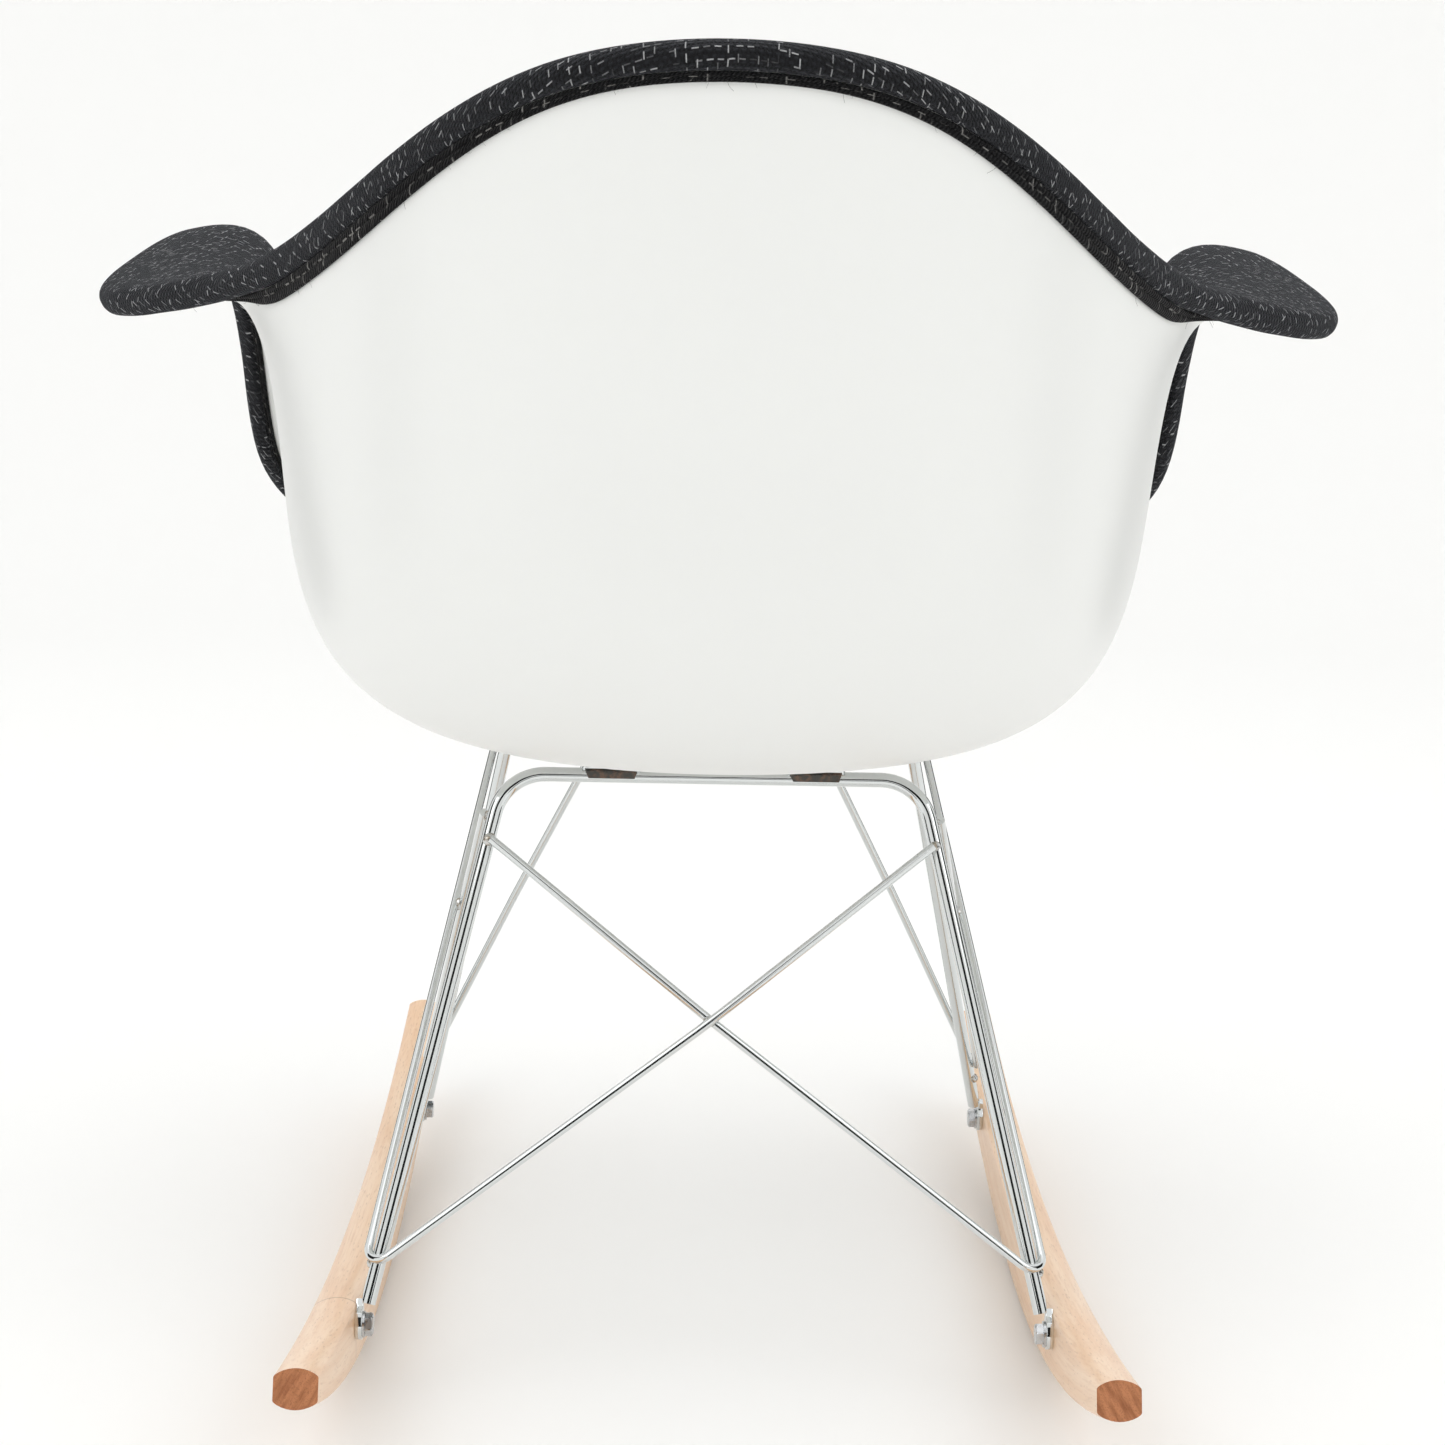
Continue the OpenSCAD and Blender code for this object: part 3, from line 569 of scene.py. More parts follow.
def material_beech():
    """Steamed beech, bent and glued from two boards, sanded and clear-lacquered: fine pores and rays."""
    material, tree, shader = start_material("Lacquered beech", {
        "Roughness": 0.34, "IOR": 1.5, "Coat Weight": 0.35, "Coat Roughness": 0.16})
    # The place within the rocker's board: across, along the bend and up, in metres
    place = add_node(tree, "ShaderNodeAttribute", attribute_name="grain").outputs["Vector"]
    long_ = add_node(tree, "ShaderNodeVectorMath", {0: place, 1: (1.0, 0.035, 1.0)},
                     operation="MULTIPLY").outputs[0]
    wide = add_node(tree, "ShaderNodeTexNoise",
                    {"Vector": long_, "Scale": 130.0, "Detail": 3.0, "Roughness": 0.55}).outputs["Fac"]
    fine = add_node(tree, "ShaderNodeTexNoise",
                    {"Vector": long_, "Scale": 900.0, "Detail": 3.0, "Roughness": 0.65}).outputs["Fac"]
    share = add_node(tree, "ShaderNodeMapRange", {"Value": wide, "From Min": 0.3, "From Max": 0.72},
                     interpolation_type="SMOOTHSTEP").outputs["Result"]
    colour = add_node(tree, "ShaderNodeMix", {0: share, 6: chosen("wood"), 7: chosen("grain")},
                      data_type="RGBA").outputs[2]
    streak = add_node(tree, "ShaderNodeMapRange", {"Value": fine, "From Min": 0.45, "From Max": 0.75},
                      interpolation_type="SMOOTHSTEP").outputs["Result"]
    share = add_node(tree, "ShaderNodeMath", {0: streak, 1: 0.45}, operation="MULTIPLY").outputs[0]
    colour = add_node(tree, "ShaderNodeMix", {0: share, 6: colour, 7: srgb("#d3a074")},
                      data_type="RGBA").outputs[2]
    # Pores: short dark flecks along the grain
    flat = add_node(tree, "ShaderNodeVectorMath", {0: place, 1: (1.0, 0.12, 1.0)},
                    operation="MULTIPLY").outputs[0]
    pores = add_node(tree, "ShaderNodeTexVoronoi", {"Vector": flat, "Scale": 620.0},
                     feature="F1").outputs["Distance"]
    pore = add_node(tree, "ShaderNodeMapRange",
                    {"Value": pores, "From Min": 0.1, "From Max": 0.26, "To Min": 1.0, "To Max": 0.0},
                    interpolation_type="SMOOTHSTEP").outputs["Result"]
    share = add_node(tree, "ShaderNodeMath", {0: pore, 1: 0.35}, operation="MULTIPLY").outputs[0]
    colour = add_node(tree, "ShaderNodeMix", {0: share, 6: colour, 7: srgb("#a9774e")},
                      data_type="RGBA").outputs[2]
    # The glue line between the two boards, where the rocker has one
    joint = add_node(tree, "ShaderNodeAttribute", attribute_name="joint").outputs["Fac"]
    away = add_node(tree, "ShaderNodeMath", {0: joint}, operation="ABSOLUTE").outputs[0]
    line = add_node(tree, "ShaderNodeMapRange",
                    {"Value": away, "From Min": 0.0003, "From Max": 0.0012, "To Min": 1.0,
                     "To Max": 0.0}, interpolation_type="SMOOTHSTEP").outputs["Result"]
    share = add_node(tree, "ShaderNodeMath", {0: line, 1: 0.55}, operation="MULTIPLY").outputs[0]
    colour = add_node(tree, "ShaderNodeMix", {0: share, 6: colour, 7: srgb("#9a6a45")},
                      data_type="RGBA").outputs[2]
    tree.links.new(colour, shader.inputs["Base Color"])
    relief = add_node(tree, "ShaderNodeMath", {0: fine, 1: pore}, operation="SUBTRACT").outputs[0]
    bump = add_node(tree, "ShaderNodeBump", {"Height": relief, "Distance": 6e-05, "Strength": 0.5})
    tree.links.new(bump.outputs["Normal"], shader.inputs["Normal"])
    return material


def material_end_grain():
    """The rocker's sawn ends: beech end grain, darker, with growth rings and rays, lacquered."""
    material, tree, shader = start_material("Lacquered beech end grain", {
        "Roughness": 0.42, "IOR": 1.5, "Coat Weight": 0.25, "Coat Roughness": 0.2})
    # The place within the rocker's board: across, along the bend and up, in metres
    place = add_node(tree, "ShaderNodeAttribute", attribute_name="grain").outputs["Vector"]
    tilt = add_node(tree, "ShaderNodeMapping", {"Vector": place, "Rotation": (0.0, 0.5, 0.0)}).outputs[0]
    squash = add_node(tree, "ShaderNodeVectorMath", {0: tilt, 1: (1.0, 1.0, 0.16)},
                      operation="MULTIPLY").outputs[0]
    rings = add_node(tree, "ShaderNodeTexNoise",
                     {"Vector": squash, "Scale": 330.0, "Detail": 3.0, "Roughness": 0.6}).outputs["Fac"]
    dots = add_node(tree, "ShaderNodeTexNoise",
                    {"Vector": place, "Scale": 1500.0, "Detail": 2.0, "Roughness": 0.6}).outputs["Fac"]
    share = add_node(tree, "ShaderNodeMapRange", {"Value": rings, "From Min": 0.35, "From Max": 0.68},
                     interpolation_type="SMOOTHSTEP").outputs["Result"]
    colour = add_node(tree, "ShaderNodeMix", {0: share, 6: srgb("#bb7a4f"), 7: srgb("#925630")},
                      data_type="RGBA").outputs[2]
    ray = add_node(tree, "ShaderNodeMapRange", {"Value": dots, "From Min": 0.5, "From Max": 0.7},
                   interpolation_type="SMOOTHSTEP").outputs["Result"]
    share = add_node(tree, "ShaderNodeMath", {0: ray, 1: 0.45}, operation="MULTIPLY").outputs[0]
    colour = add_node(tree, "ShaderNodeMix", {0: share, 6: colour, 7: srgb("#6f4024")},
                      data_type="RGBA").outputs[2]
    tree.links.new(colour, shader.inputs["Base Color"])
    return material


MAKERS = {
    "shell": material_polypropylene,
    "tweed": material_tweed,
    "welt": material_welt,
    "chrome": material_chrome,
    "weld": material_weld,
    "tongue": material_tongue,
    "zinc": material_zinc,
    "brass": material_brass,
    "rubber": material_rubber,
    "foam": material_foam,
    "beech": material_beech,
    "end": material_end_grain,
}


def use(key):
    """The named material, made afresh from the colours now set."""
    return MAKERS[key]()


# ---------------------------------------------------------------- geometry node trees
def geometry_tree(name, inputs):
    """A new geometry node tree with its input and output; inputs are (name, socket type, default)."""
    old = bpy.data.node_groups.get(name)
    if old is not None:
        bpy.data.node_groups.remove(old)
    tree = bpy.data.node_groups.new(name, "GeometryNodeTree")
    tree.interface.new_socket("Geometry", in_out="INPUT", socket_type="NodeSocketGeometry")
    for label, kind, value in inputs:
        socket = tree.interface.new_socket(label, in_out="INPUT", socket_type=kind)
        if value is not None:
            socket.default_value = value
    tree.interface.new_socket("Geometry", in_out="OUTPUT", socket_type="NodeSocketGeometry")
    return tree, add_node(tree, "NodeGroupInput")


def finish_tree(tree, geometry, material):
    """Ends a tree in Realize Instances and Set Material."""
    real = add_node(tree, "GeometryNodeRealizeInstances", {"Geometry": geometry})
    painted = add_node(tree, "GeometryNodeSetMaterial", {"Geometry": real.outputs[0], "Material": material})
    out = add_node(tree, "NodeGroupOutput")
    tree.links.new(painted.outputs[0], out.inputs[0])


def grow(name, base, tree, values):
    """Runs a node tree on a base mesh with these named inputs, and keeps the result as a plain mesh."""
    modifier = base.modifiers.new("Grow", "NODES")
    modifier.node_group = tree
    for item in tree.interface.items_tree:
        if item.item_type == "SOCKET" and item.in_out == "INPUT" and item.name in values:
            modifier[item.identifier] = values[item.name]
    bpy.context.view_layer.update()
    graph = bpy.context.evaluated_depsgraph_get()
    mesh = bpy.data.meshes.new_from_object(base.evaluated_get(graph))
    bpy.data.objects.remove(base)
    clear_piece(name)
    mesh.name = name
    obj = bpy.data.objects.new(name, mesh)
    bpy.context.scene.collection.objects.link(obj)
    return obj


def rod_tree():
    """Bent rod: fillets a polyline by each corner's own bend and sweeps a round bar along it."""
    tree, start = geometry_tree("Bent rod", [
        ("Bar Radius", "NodeSocketFloat", 0.003), ("Bar Sides", "NodeSocketInt", 24),
        ("Bend Steps", "NodeSocketInt", 14), ("Material", "NodeSocketMaterial", None)])
    line = add_node(tree, "GeometryNodeMeshToCurve", {"Mesh": start.outputs["Geometry"]})
    bend = add_node(tree, "GeometryNodeInputNamedAttribute", {"Name": "bend"}, data_type="FLOAT")
    turned = add_node(tree, "GeometryNodeFilletCurve", {"Curve": line.outputs[0]})
    mode = turned.inputs.get("Mode")
    if mode is not None:
        mode.default_value = "Poly"
    else:
        turned.mode = "POLY"
    tree.links.new(start.outputs["Bend Steps"], turned.inputs["Count"])
    tree.links.new(bend.outputs["Attribute"], turned.inputs["Radius"])
    turned.inputs["Limit Radius"].default_value = True
    ring = add_node(tree, "GeometryNodeCurvePrimitiveCircle", {
        "Resolution": start.outputs["Bar Sides"], "Radius": start.outputs["Bar Radius"]}, mode="RADIUS")
    bar = add_node(tree, "GeometryNodeCurveToMesh", {
        "Curve": turned.outputs[0], "Profile Curve": ring.outputs[0], "Fill Caps": True})
    smooth = add_node(tree, "GeometryNodeSetShadeSmooth", {"Geometry": bar.outputs[0]})
    finish_tree(tree, smooth.outputs[0], start.outputs["Material"])
    return tree


def bent_rod(name, points, bends, radius, material):
    """A round rod through these points in millimetres, with a bend radius for each inner one."""
    mesh = bpy.data.meshes.new("Rod path")
    spans = [(i, i + 1) for i in range(len(points) - 1)]
    mesh.from_pydata([tuple(Vector(p) * MM) for p in points], spans, [])
    layer = mesh.attributes.new("bend", "FLOAT", "POINT")
    layer.data.foreach_set("value", [0.0] + [b * MM for b in bends] + [0.0])
    base = bpy.data.objects.new("Rod path", mesh)
    bpy.context.scene.collection.objects.link(base)
    return grow(name, base, rod_tree(), {
        "Bar Radius": radius * MM, "Bar Sides": 28, "Bend Steps": 18, "Material": material})


def bead_tree():
    """Weld beads: a small lump on every point, sized by the point, turned and dented by chance."""
    tree, start = geometry_tree("Weld beads", [
        ("Bead Radius", "NodeSocketFloat", 0.003), ("Roughness", "NodeSocketFloat", 0.0009),
        ("Seed", "NodeSocketInt", 7), ("Material", "NodeSocketMaterial", None)])
    lump = add_node(tree, "GeometryNodeMeshIcoSphere", {"Radius": start.outputs["Bead Radius"],
                                                        "Subdivisions": 3})
    turn = add_node(tree, "FunctionNodeRandomValue", {"Seed": start.outputs["Seed"]},
                    data_type="FLOAT_VECTOR")
    turn.inputs["Max"].default_value = (6.0, 6.0, 6.0)
    size = add_node(tree, "FunctionNodeRandomValue", {"Seed": start.outputs["Seed"]},
                    data_type="FLOAT_VECTOR")
    size.inputs["Min"].default_value = (0.85, 0.85, 0.95)
    size.inputs["Max"].default_value = (1.05, 1.05, 1.3)
    put = add_node(tree, "GeometryNodeInstanceOnPoints", {
        "Points": start.outputs["Geometry"], "Instance": lump.outputs["Mesh"],
        "Rotation": turn.outputs["Value"], "Scale": size.outputs["Value"]})
    real = add_node(tree, "GeometryNodeRealizeInstances", {"Geometry": put.outputs[0]})
    dents = add_node(tree, "ShaderNodeTexNoise", {"Scale": 420.0, "Detail": 2.0})
    depth = add_node(tree, "ShaderNodeMath", {0: dents.outputs["Fac"], 1: 0.5}, operation="SUBTRACT")
    depth = add_node(tree, "ShaderNodeMath", {0: depth.outputs[0], 1: start.outputs["Roughness"]},
                     operation="MULTIPLY")
    way = add_node(tree, "GeometryNodeInputNormal")
    push = add_node(tree, "ShaderNodeVectorMath", {0: way.outputs["Normal"], "Scale": depth.outputs[0]},
                    operation="SCALE")
    moved = add_node(tree, "GeometryNodeSetPosition", {
        "Geometry": real.outputs[0], "Offset": push.outputs[0]})
    smooth = add_node(tree, "GeometryNodeSetShadeSmooth", {"Geometry": moved.outputs[0]})
    finish_tree(tree, smooth.outputs[0], start.outputs["Material"])
    return tree


def bolt_tree():
    """Bolts at points: the one bolt placed on each point and turned about its axis by the point's twist."""
    tree, start = geometry_tree("Bolts on points", [
        ("Bolt", "NodeSocketObject", None), ("Material", "NodeSocketMaterial", None)])
    bolt = add_node(tree, "GeometryNodeObjectInfo", {"Object": start.outputs["Bolt"], "As Instance": True})
    turn = add_node(tree, "GeometryNodeInputNamedAttribute", {"Name": "turn"}, data_type="FLOAT_VECTOR")
    put = add_node(tree, "GeometryNodeInstanceOnPoints", {
        "Points": start.outputs["Geometry"], "Instance": bolt.outputs["Geometry"],
        "Rotation": turn.outputs["Attribute"]})
    finish_tree(tree, put.outputs[0], start.outputs["Material"])
    return tree


def hair_tree():
    """Loose fibres: thin short hairs on points of the cover's edge, leaning by chance."""
    tree, start = geometry_tree("Loose fibres", [
        ("Density", "NodeSocketFloat", 9000.0), ("Length", "NodeSocketFloat", 0.004),
        ("Thickness", "NodeSocketFloat", 0.00006), ("Seed", "NodeSocketInt", 5),
        ("Material", "NodeSocketMaterial", None)])
    spots = add_node(tree, "GeometryNodeDistributePointsOnFaces", {
        "Mesh": start.outputs["Geometry"], "Density": start.outputs["Density"],
        "Seed": start.outputs["Seed"]})
    arc = add_node(tree, "GeometryNodeCurveQuadraticBezier", {
        "Resolution": 5, "Start": (0.0, 0.0, 0.0), "Middle": (0.12, 0.0, 0.5), "End": (0.6, 0.1, 0.8)})
    wire = add_node(tree, "GeometryNodeCurvePrimitiveCircle", {"Resolution": 3}, mode="RADIUS")
    thin = add_node(tree, "ShaderNodeMath", {0: start.outputs["Thickness"], 1: start.outputs["Length"]},
                    operation="DIVIDE")
    tree.links.new(thin.outputs[0], wire.inputs["Radius"])
    hair = add_node(tree, "GeometryNodeCurveToMesh", {
        "Curve": arc.outputs[0], "Profile Curve": wire.outputs[0], "Fill Caps": True})
    spin = add_node(tree, "FunctionNodeRandomValue", {"Seed": start.outputs["Seed"]},
                    data_type="FLOAT_VECTOR")
    spin.inputs["Min"].default_value = (-0.7, -0.7, -3.1)
    spin.inputs["Max"].default_value = (0.7, 0.7, 3.1)
    turned = add_node(tree, "FunctionNodeRotateRotation", {
        "Rotation": spots.outputs["Rotation"], "Rotate By": spin.outputs["Value"]}, rotation_space="LOCAL")
    tall = add_node(tree, "FunctionNodeRandomValue", {"Seed": start.outputs["Seed"]}, data_type="FLOAT")
    tall.inputs[2].default_value = 0.3
    tall.inputs[3].default_value = 1.0
    long_ = add_node(tree, "ShaderNodeMath", {0: tall.outputs[1], 1: start.outputs["Length"]},
                     operation="MULTIPLY")
    put = add_node(tree, "GeometryNodeInstanceOnPoints", {
        "Points": spots.outputs["Points"], "Instance": hair.outputs[0],
        "Rotation": turned.outputs[0], "Scale": long_.outputs[0]})
    finish_tree(tree, put.outputs[0], start.outputs["Material"])
    return tree


# ---------------------------------------------------------------- the seat
def columns_at(per):
    """The column parameter at evenly spaced samples, per of them to each control column."""
    return np.arange(COLUMNS * per) / per


def rows_at(count, start=0.14):
    """Even meridian samples from near the seat's middle to the rim."""
    return start + (SPANS - start) * np.linspace(0, 1, count)


def depth_layer(u, v, depth):
    """A grid of points a depth inside the outer face, and the point at the seat's middle."""
    point, _, normal = shell_face(u[:, None], v[None, :])
    pole, _, _ = shell_face(np.zeros(1), np.zeros(1))
    down = np.array((0, -0.06, -1.0))
    down /= np.linalg.norm(down)
    return point - depth * normal, pole[0] - depth * down


def skin_piece(name, material, near, far, per, rows):
    """A closed solid between two depths inside the outer face, with a softened rim."""
    v, u = columns_at(per), rows_at(rows)
    outer, outer_pole = depth_layer(u, v, near)
    inner, inner_pole = depth_layer(u, v, far)
    soft = min(0.7, (far - near) * 0.3)
    rim = []
    for t in (0.15, 0.5, 0.85):
        bulge = soft * math.sin(math.pi * t)
        depth = near + (far - near) * t
        rim.append(past_rim([bulge], [-depth], v)[0])
    stack = np.concatenate([outer, np.array(rim), inner[::-1]])
    n = len(v)
    points = np.concatenate([stack.reshape(-1, 3), [outer_pole, inner_pole]])
    faces = ring_faces(len(stack), n)
    top, bottom = len(points) - 2, len(points) - 1
    last = (len(stack) - 1) * n
    faces += [(top, (j + 1) % n, j) for j in range(n)]
    faces += [(bottom, last + j, last + (j + 1) % n) for j in range(n)]
    return new_piece(name, points, faces, [material])


def cloth_map(points, pole):
    """Flat cloth places in metres: each column runs straight out from the seat's middle."""
    near = points[0] - pole
    angle = np.arctan2(near[:, 1], near[:, 0])
    steps = np.linalg.norm(np.diff(points, axis=0), axis=2)
    first = np.linalg.norm(near, axis=1)
    length = np.concatenate([first[None], first + np.cumsum(steps, 0)])
    return np.stack([length * np.cos(angle), length * np.sin(angle)], -1) * MM


# How deep the lining's shown face lies inside the shell's outer face, how thick the cloth is, and the
# cloth's shown face from there over the rim, as (out past the rim, out from the outer face)
LINING = 10.6
CLOTH = 1.0
ROLL = [(0, -LINING), (4.6, -9.8), (7.6, -7.2), (8.7, -3.6), (7.9, 0.6), (5.4, 3.6), (1.6, 4.6),
        (-2.4, 4.2), (-4.4, 2.4), (-4.7, 0.35)]


def cover_piece(per=12, rows=64):
    """One cloth: it lines the bowl, turns out over the rim and is glued down behind it."""
    v, u = columns_at(per), rows_at(rows)
    inner, pole = depth_layer(u, v, LINING)
    path = smooth_path(ROLL, 30)[1:]
    step = np.gradient(path, axis=0)
    step /= np.linalg.norm(step, axis=1)[:, None]
    inside = path - CLOTH * np.stack([step[:, 1], -step[:, 0]], 1)
    # The shown face winds out from the lining over the rim; its back runs 1 mm inside it
    roll = past_rim(path[:, 0], path[:, 1], v)
    back_roll = past_rim(inside[:, 0], inside[:, 1], v)
    puckers = 0.18 * np.sin(v * 9.0) * np.sin(v * 3.7 + 1.0)
    _, _, normal = shell_face(np.full(len(v), SPANS), v)
    swell = np.sin(np.linspace(0, math.pi, len(roll)))[:, None, None] * (puckers[:, None] * normal)[None]
    roll = roll + swell
    back_roll = back_roll + swell
    back, back_pole = depth_layer(u, v, LINING - CLOTH)
    shown = np.concatenate([inner, roll])
    hidden = np.concatenate([back, back_roll])
    stack = np.concatenate([shown, hidden[::-1]])
    n = len(v)
    points = np.concatenate([stack.reshape(-1, 3), [pole, back_pole]])
    faces = ring_faces(len(stack), n, turn=True)
    last = (len(stack) - 1) * n
    top, bottom = len(points) - 2, len(points) - 1
    faces += [(top, j, (j + 1) % n) for j in range(n)]
    faces += [(bottom, last + (j + 1) % n, last + j) for j in range(n)]
    obj = new_piece("seat_cover", points, faces, [use("tweed")])
    flat = cloth_map(shown, pole)
    set_uv(obj, "Cloth", np.concatenate([flat.reshape(-1, 2), flat[::-1].reshape(-1, 2), [(0, 0), (0, 0)]]))
    return obj


def welt_piece(per=14):
    """Two thin twisted cords side by side, lying along the cover's edge all the way round."""
    v = columns_at(per)
    # One closed outline that runs over both cords and back along the shell
    outline = []
    for middle in (-6.05, -8.4):
        for a in np.radians(np.linspace(20, 160, 8)):
            outline.append((middle + 1.2 * math.cos(a), 1.35 + 1.25 * math.sin(a)))
    outline += [(-9.65, 0.9), (-9.2, 0.25), (-5.3, 0.25), (-4.85, 0.9)]
    outline = np.array(outline)
    grid = past_rim(outline[:, 0], outline[:, 1], v)
    # Slight waviness, as hand-laid cord has
    _, _, normal = shell_face(np.full(len(v), SPANS), v)
    lift = (0.12 * np.sin(v * 5.1) + 0.09 * np.sin(v * 13.3 + 2))[:, None] * normal
    grid[:-4] += lift[None]
    count, n = grid.shape[:2]
    points = grid.reshape(-1, 3)
    faces = ring_faces(count, n, turn=True)
    last = (count - 1) * n
    faces += [(j, (j + 1) % n, last + (j + 1) % n, last + j) for j in range(n)]
    obj = new_piece("welt_cord", points, faces, [use("welt")])
    around = np.r_[0, np.cumsum(np.linalg.norm(np.diff(grid[4], axis=0), axis=1))] * MM
    across = np.r_[0, np.cumsum(np.linalg.norm(np.diff(outline, axis=0), axis=1))] * MM
    uv = np.stack(np.broadcast_arrays(around[None, :], across[:, None]), -1)
    set_uv(obj, "Cloth", uv.reshape(-1, 2))
    return obj


def make_outward(obj):
    """Turns every face outward and checks that the mesh is closed."""
    work = bmesh.new()
    work.from_mesh(obj.data)
    open_edges = [e for e in work.edges if len(e.link_faces) != 2]
    if open_edges:
        work.free()
        raise RuntimeError(obj.name + " has " + str(len(open_edges)) + " open edges")
    bmesh.ops.recalc_face_normals(work, faces=work.faces)
    if work.calc_volume(signed=True) < 0:
        bmesh.ops.reverse_faces(work, faces=work.faces)
    work.to_mesh(obj.data)
    work.free()
    return obj


# ---------------------------------------------------------------- the base
def mirrored(p):
    """The same place on the chair's other side."""
    return (-p[0], p[1], p[2])


def leg_way(bar, foot):
    """The way down a leg, seen from the side."""
    way = Vector((0, foot[1] - bar[1], foot[2] - bar[2]))
    return way.normalized()


def bolt_at(bar, foot):
    """Where a leg's bolt crosses the rocker's inner face."""
    return Vector((ROCKER_X, foot[1], foot[2])) + BOLT_DROP * leg_way(bar, foot)


def plate_solid(outline, low, high, place, bevel=0.35):
    """A flat plate: an outline in its own x, y, raised from low to high, bevelled, then placed."""
    work = bmesh.new()
    loop = [work.verts.new((x, y, low)) for x, y in outline]
    face = work.faces.new(loop)
    grown = bmesh.ops.extrude_face_region(work, geom=[face])
    bmesh.ops.translate(work, verts=[v for v in grown["geom"] if isinstance(v, bmesh.types.BMVert)],
                        vec=(0, 0, high - low))
    bmesh.ops.recalc_face_normals(work, faces=work.faces)
    edges = [e for e in work.edges if e.calc_face_angle(0) > 0.6]
    bmesh.ops.bevel(work, geom=edges, offset=bevel, segments=2, affect="EDGES", profile=0.5)
    bmesh.ops.transform(work, matrix=place, verts=work.verts)
    points = [tuple(v.co) for v in work.verts]
    work.verts.index_update()
    faces = [[v.index for v in f.verts] for f in work.faces]
    work.free()
    return points, faces


def add_parts(obj, parts, slot_index=0):
    """Joins (points in mm, faces) parts into an object's mesh."""
    mesh = obj.data
    work = bmesh.new()
    work.from_mesh(mesh)
    for points, faces in parts:
        verts = [work.verts.new(Vector(p) * MM) for p in points]
        for f in faces:
            try:
                new = work.faces.new([verts[i] for i in f])
            except ValueError as error:
                raise RuntimeError("A face repeats in " + obj.name) from error
            new.smooth = True
            new.material_index = slot_index
    work.to_mesh(mesh)
    work.free()
    return obj


def sharpen(obj, angle=35.0):
    """Keeps edges steeper than the angle sharp while the rest shades smooth."""
    work = bmesh.new()
    work.from_mesh(obj.data)
    limit = math.radians(angle)
    for edge in work.edges:
        edge.smooth = len(edge.link_faces) == 2 and edge.calc_face_angle(0) < limit
    for face in work.faces:
        face.smooth = True
    work.to_mesh(obj.data)
    work.free()
    return obj


def leg_tab(bar, foot):
    """The flattened foot of a leg: a neck that widens into a round-ended tab against the rocker."""
    way = leg_way(bar, foot)
    side = Vector((0, -way.z, way.y))
    outline = [(-2.5, -2.6), (1.0, -3.0), (3.0, -5.0), (4.6, -TAB_W / 2 + 0.6)]
    for a in np.radians(np.linspace(-90, 90, 19)):
        outline.append((BOLT_DROP + TAB_W / 2 * math.cos(a), TAB_W / 2 * math.sin(a)))
    outline += [(4.6, TAB_W / 2 - 0.6), (3.0, 5.0), (1.0, 3.0), (-2.5, 2.6)]
    x_side = 1 if foot[0] > 0 else -1
    centre = Vector((x_side * (ROCKER_X - TAB_T / 2), foot[1], foot[2]))
    place = Matrix.Translation(centre) @ Matrix((way, side, way.cross(side))).transposed().to_4x4()
    return plate_solid(outline, -TAB_T / 2, TAB_T / 2, place)


def hoop_piece(name, bar, foot):
    """One bent rod: up one leg, across under the seat and down the other, with a tab at each foot."""
    path = [foot, bar, mirrored(bar), mirrored(foot)]
    obj = bent_rod(name, path, [HOOP_BEND, HOOP_BEND], LEG_R, use("chrome"))
    add_parts(obj, [leg_tab(bar, foot), leg_tab(mirrored(bar), mirrored(foot))])
    return sharpen(obj)


def bead_points():
    """Centres of the weld beads on both sides, and the one where the rear braces cross."""
    return list(WELDS) + [mirrored(p) for p in WELDS] + [CROSSING]


def saddle_piece(name, across, back, high, tilt, ahead):
    """Two mounting plates, each with a lip that folds down over the hoop's bar and is welded to it."""
    plates, tongues = [], []
    for x_side in (1, -1):
        place = (Matrix.Translation((x_side * across, back, high))
                 @ Matrix.Rotation(math.radians(tilt), 4, "X"))
        shift = 4 * ahead
        w, h, corner = 15.0, 14.0, 2.5
        outline = []
        for cx, cy, start in ((w - corner, h - corner, 0), (-w + corner, h - corner, 90),
                              (-w + corner, -h + corner, 180), (w - corner, -h + corner, 270)):
            for a in np.radians(np.linspace(start, start + 90, 6)):
                outline.append((cx + corner * math.cos(a), cy + corner * math.sin(a) + shift))
        plates.append(plate_solid(outline, 0, 3, place, 0.4))
        # The lip: a narrower tongue from the plate's edge, bent down round the bar
        way = 1 if ahead > 0 else -1
        edge = shift + way * (h - 0.8)
        tongue = [(-13.5, 0.6), (13.5, 0.6), (11.5, -4.6), (-12.0, -4.6)]
        stand = Matrix(((1, 0, 0, 0), (0, 0, -way, edge), (0, 1, 0, 0.6), (0, 0, 0, 1)))
        tongues.append(plate_solid(tongue, -1.2, 1.2, place @ stand, 0.35))
    obj = new_piece(name, plates[0][0], plates[0][1], [use("chrome"), use("tongue")])
    add_parts(obj, plates[1:])
    add_parts(obj, tongues, slot_index=1)
    return sharpen(make_outward(obj))


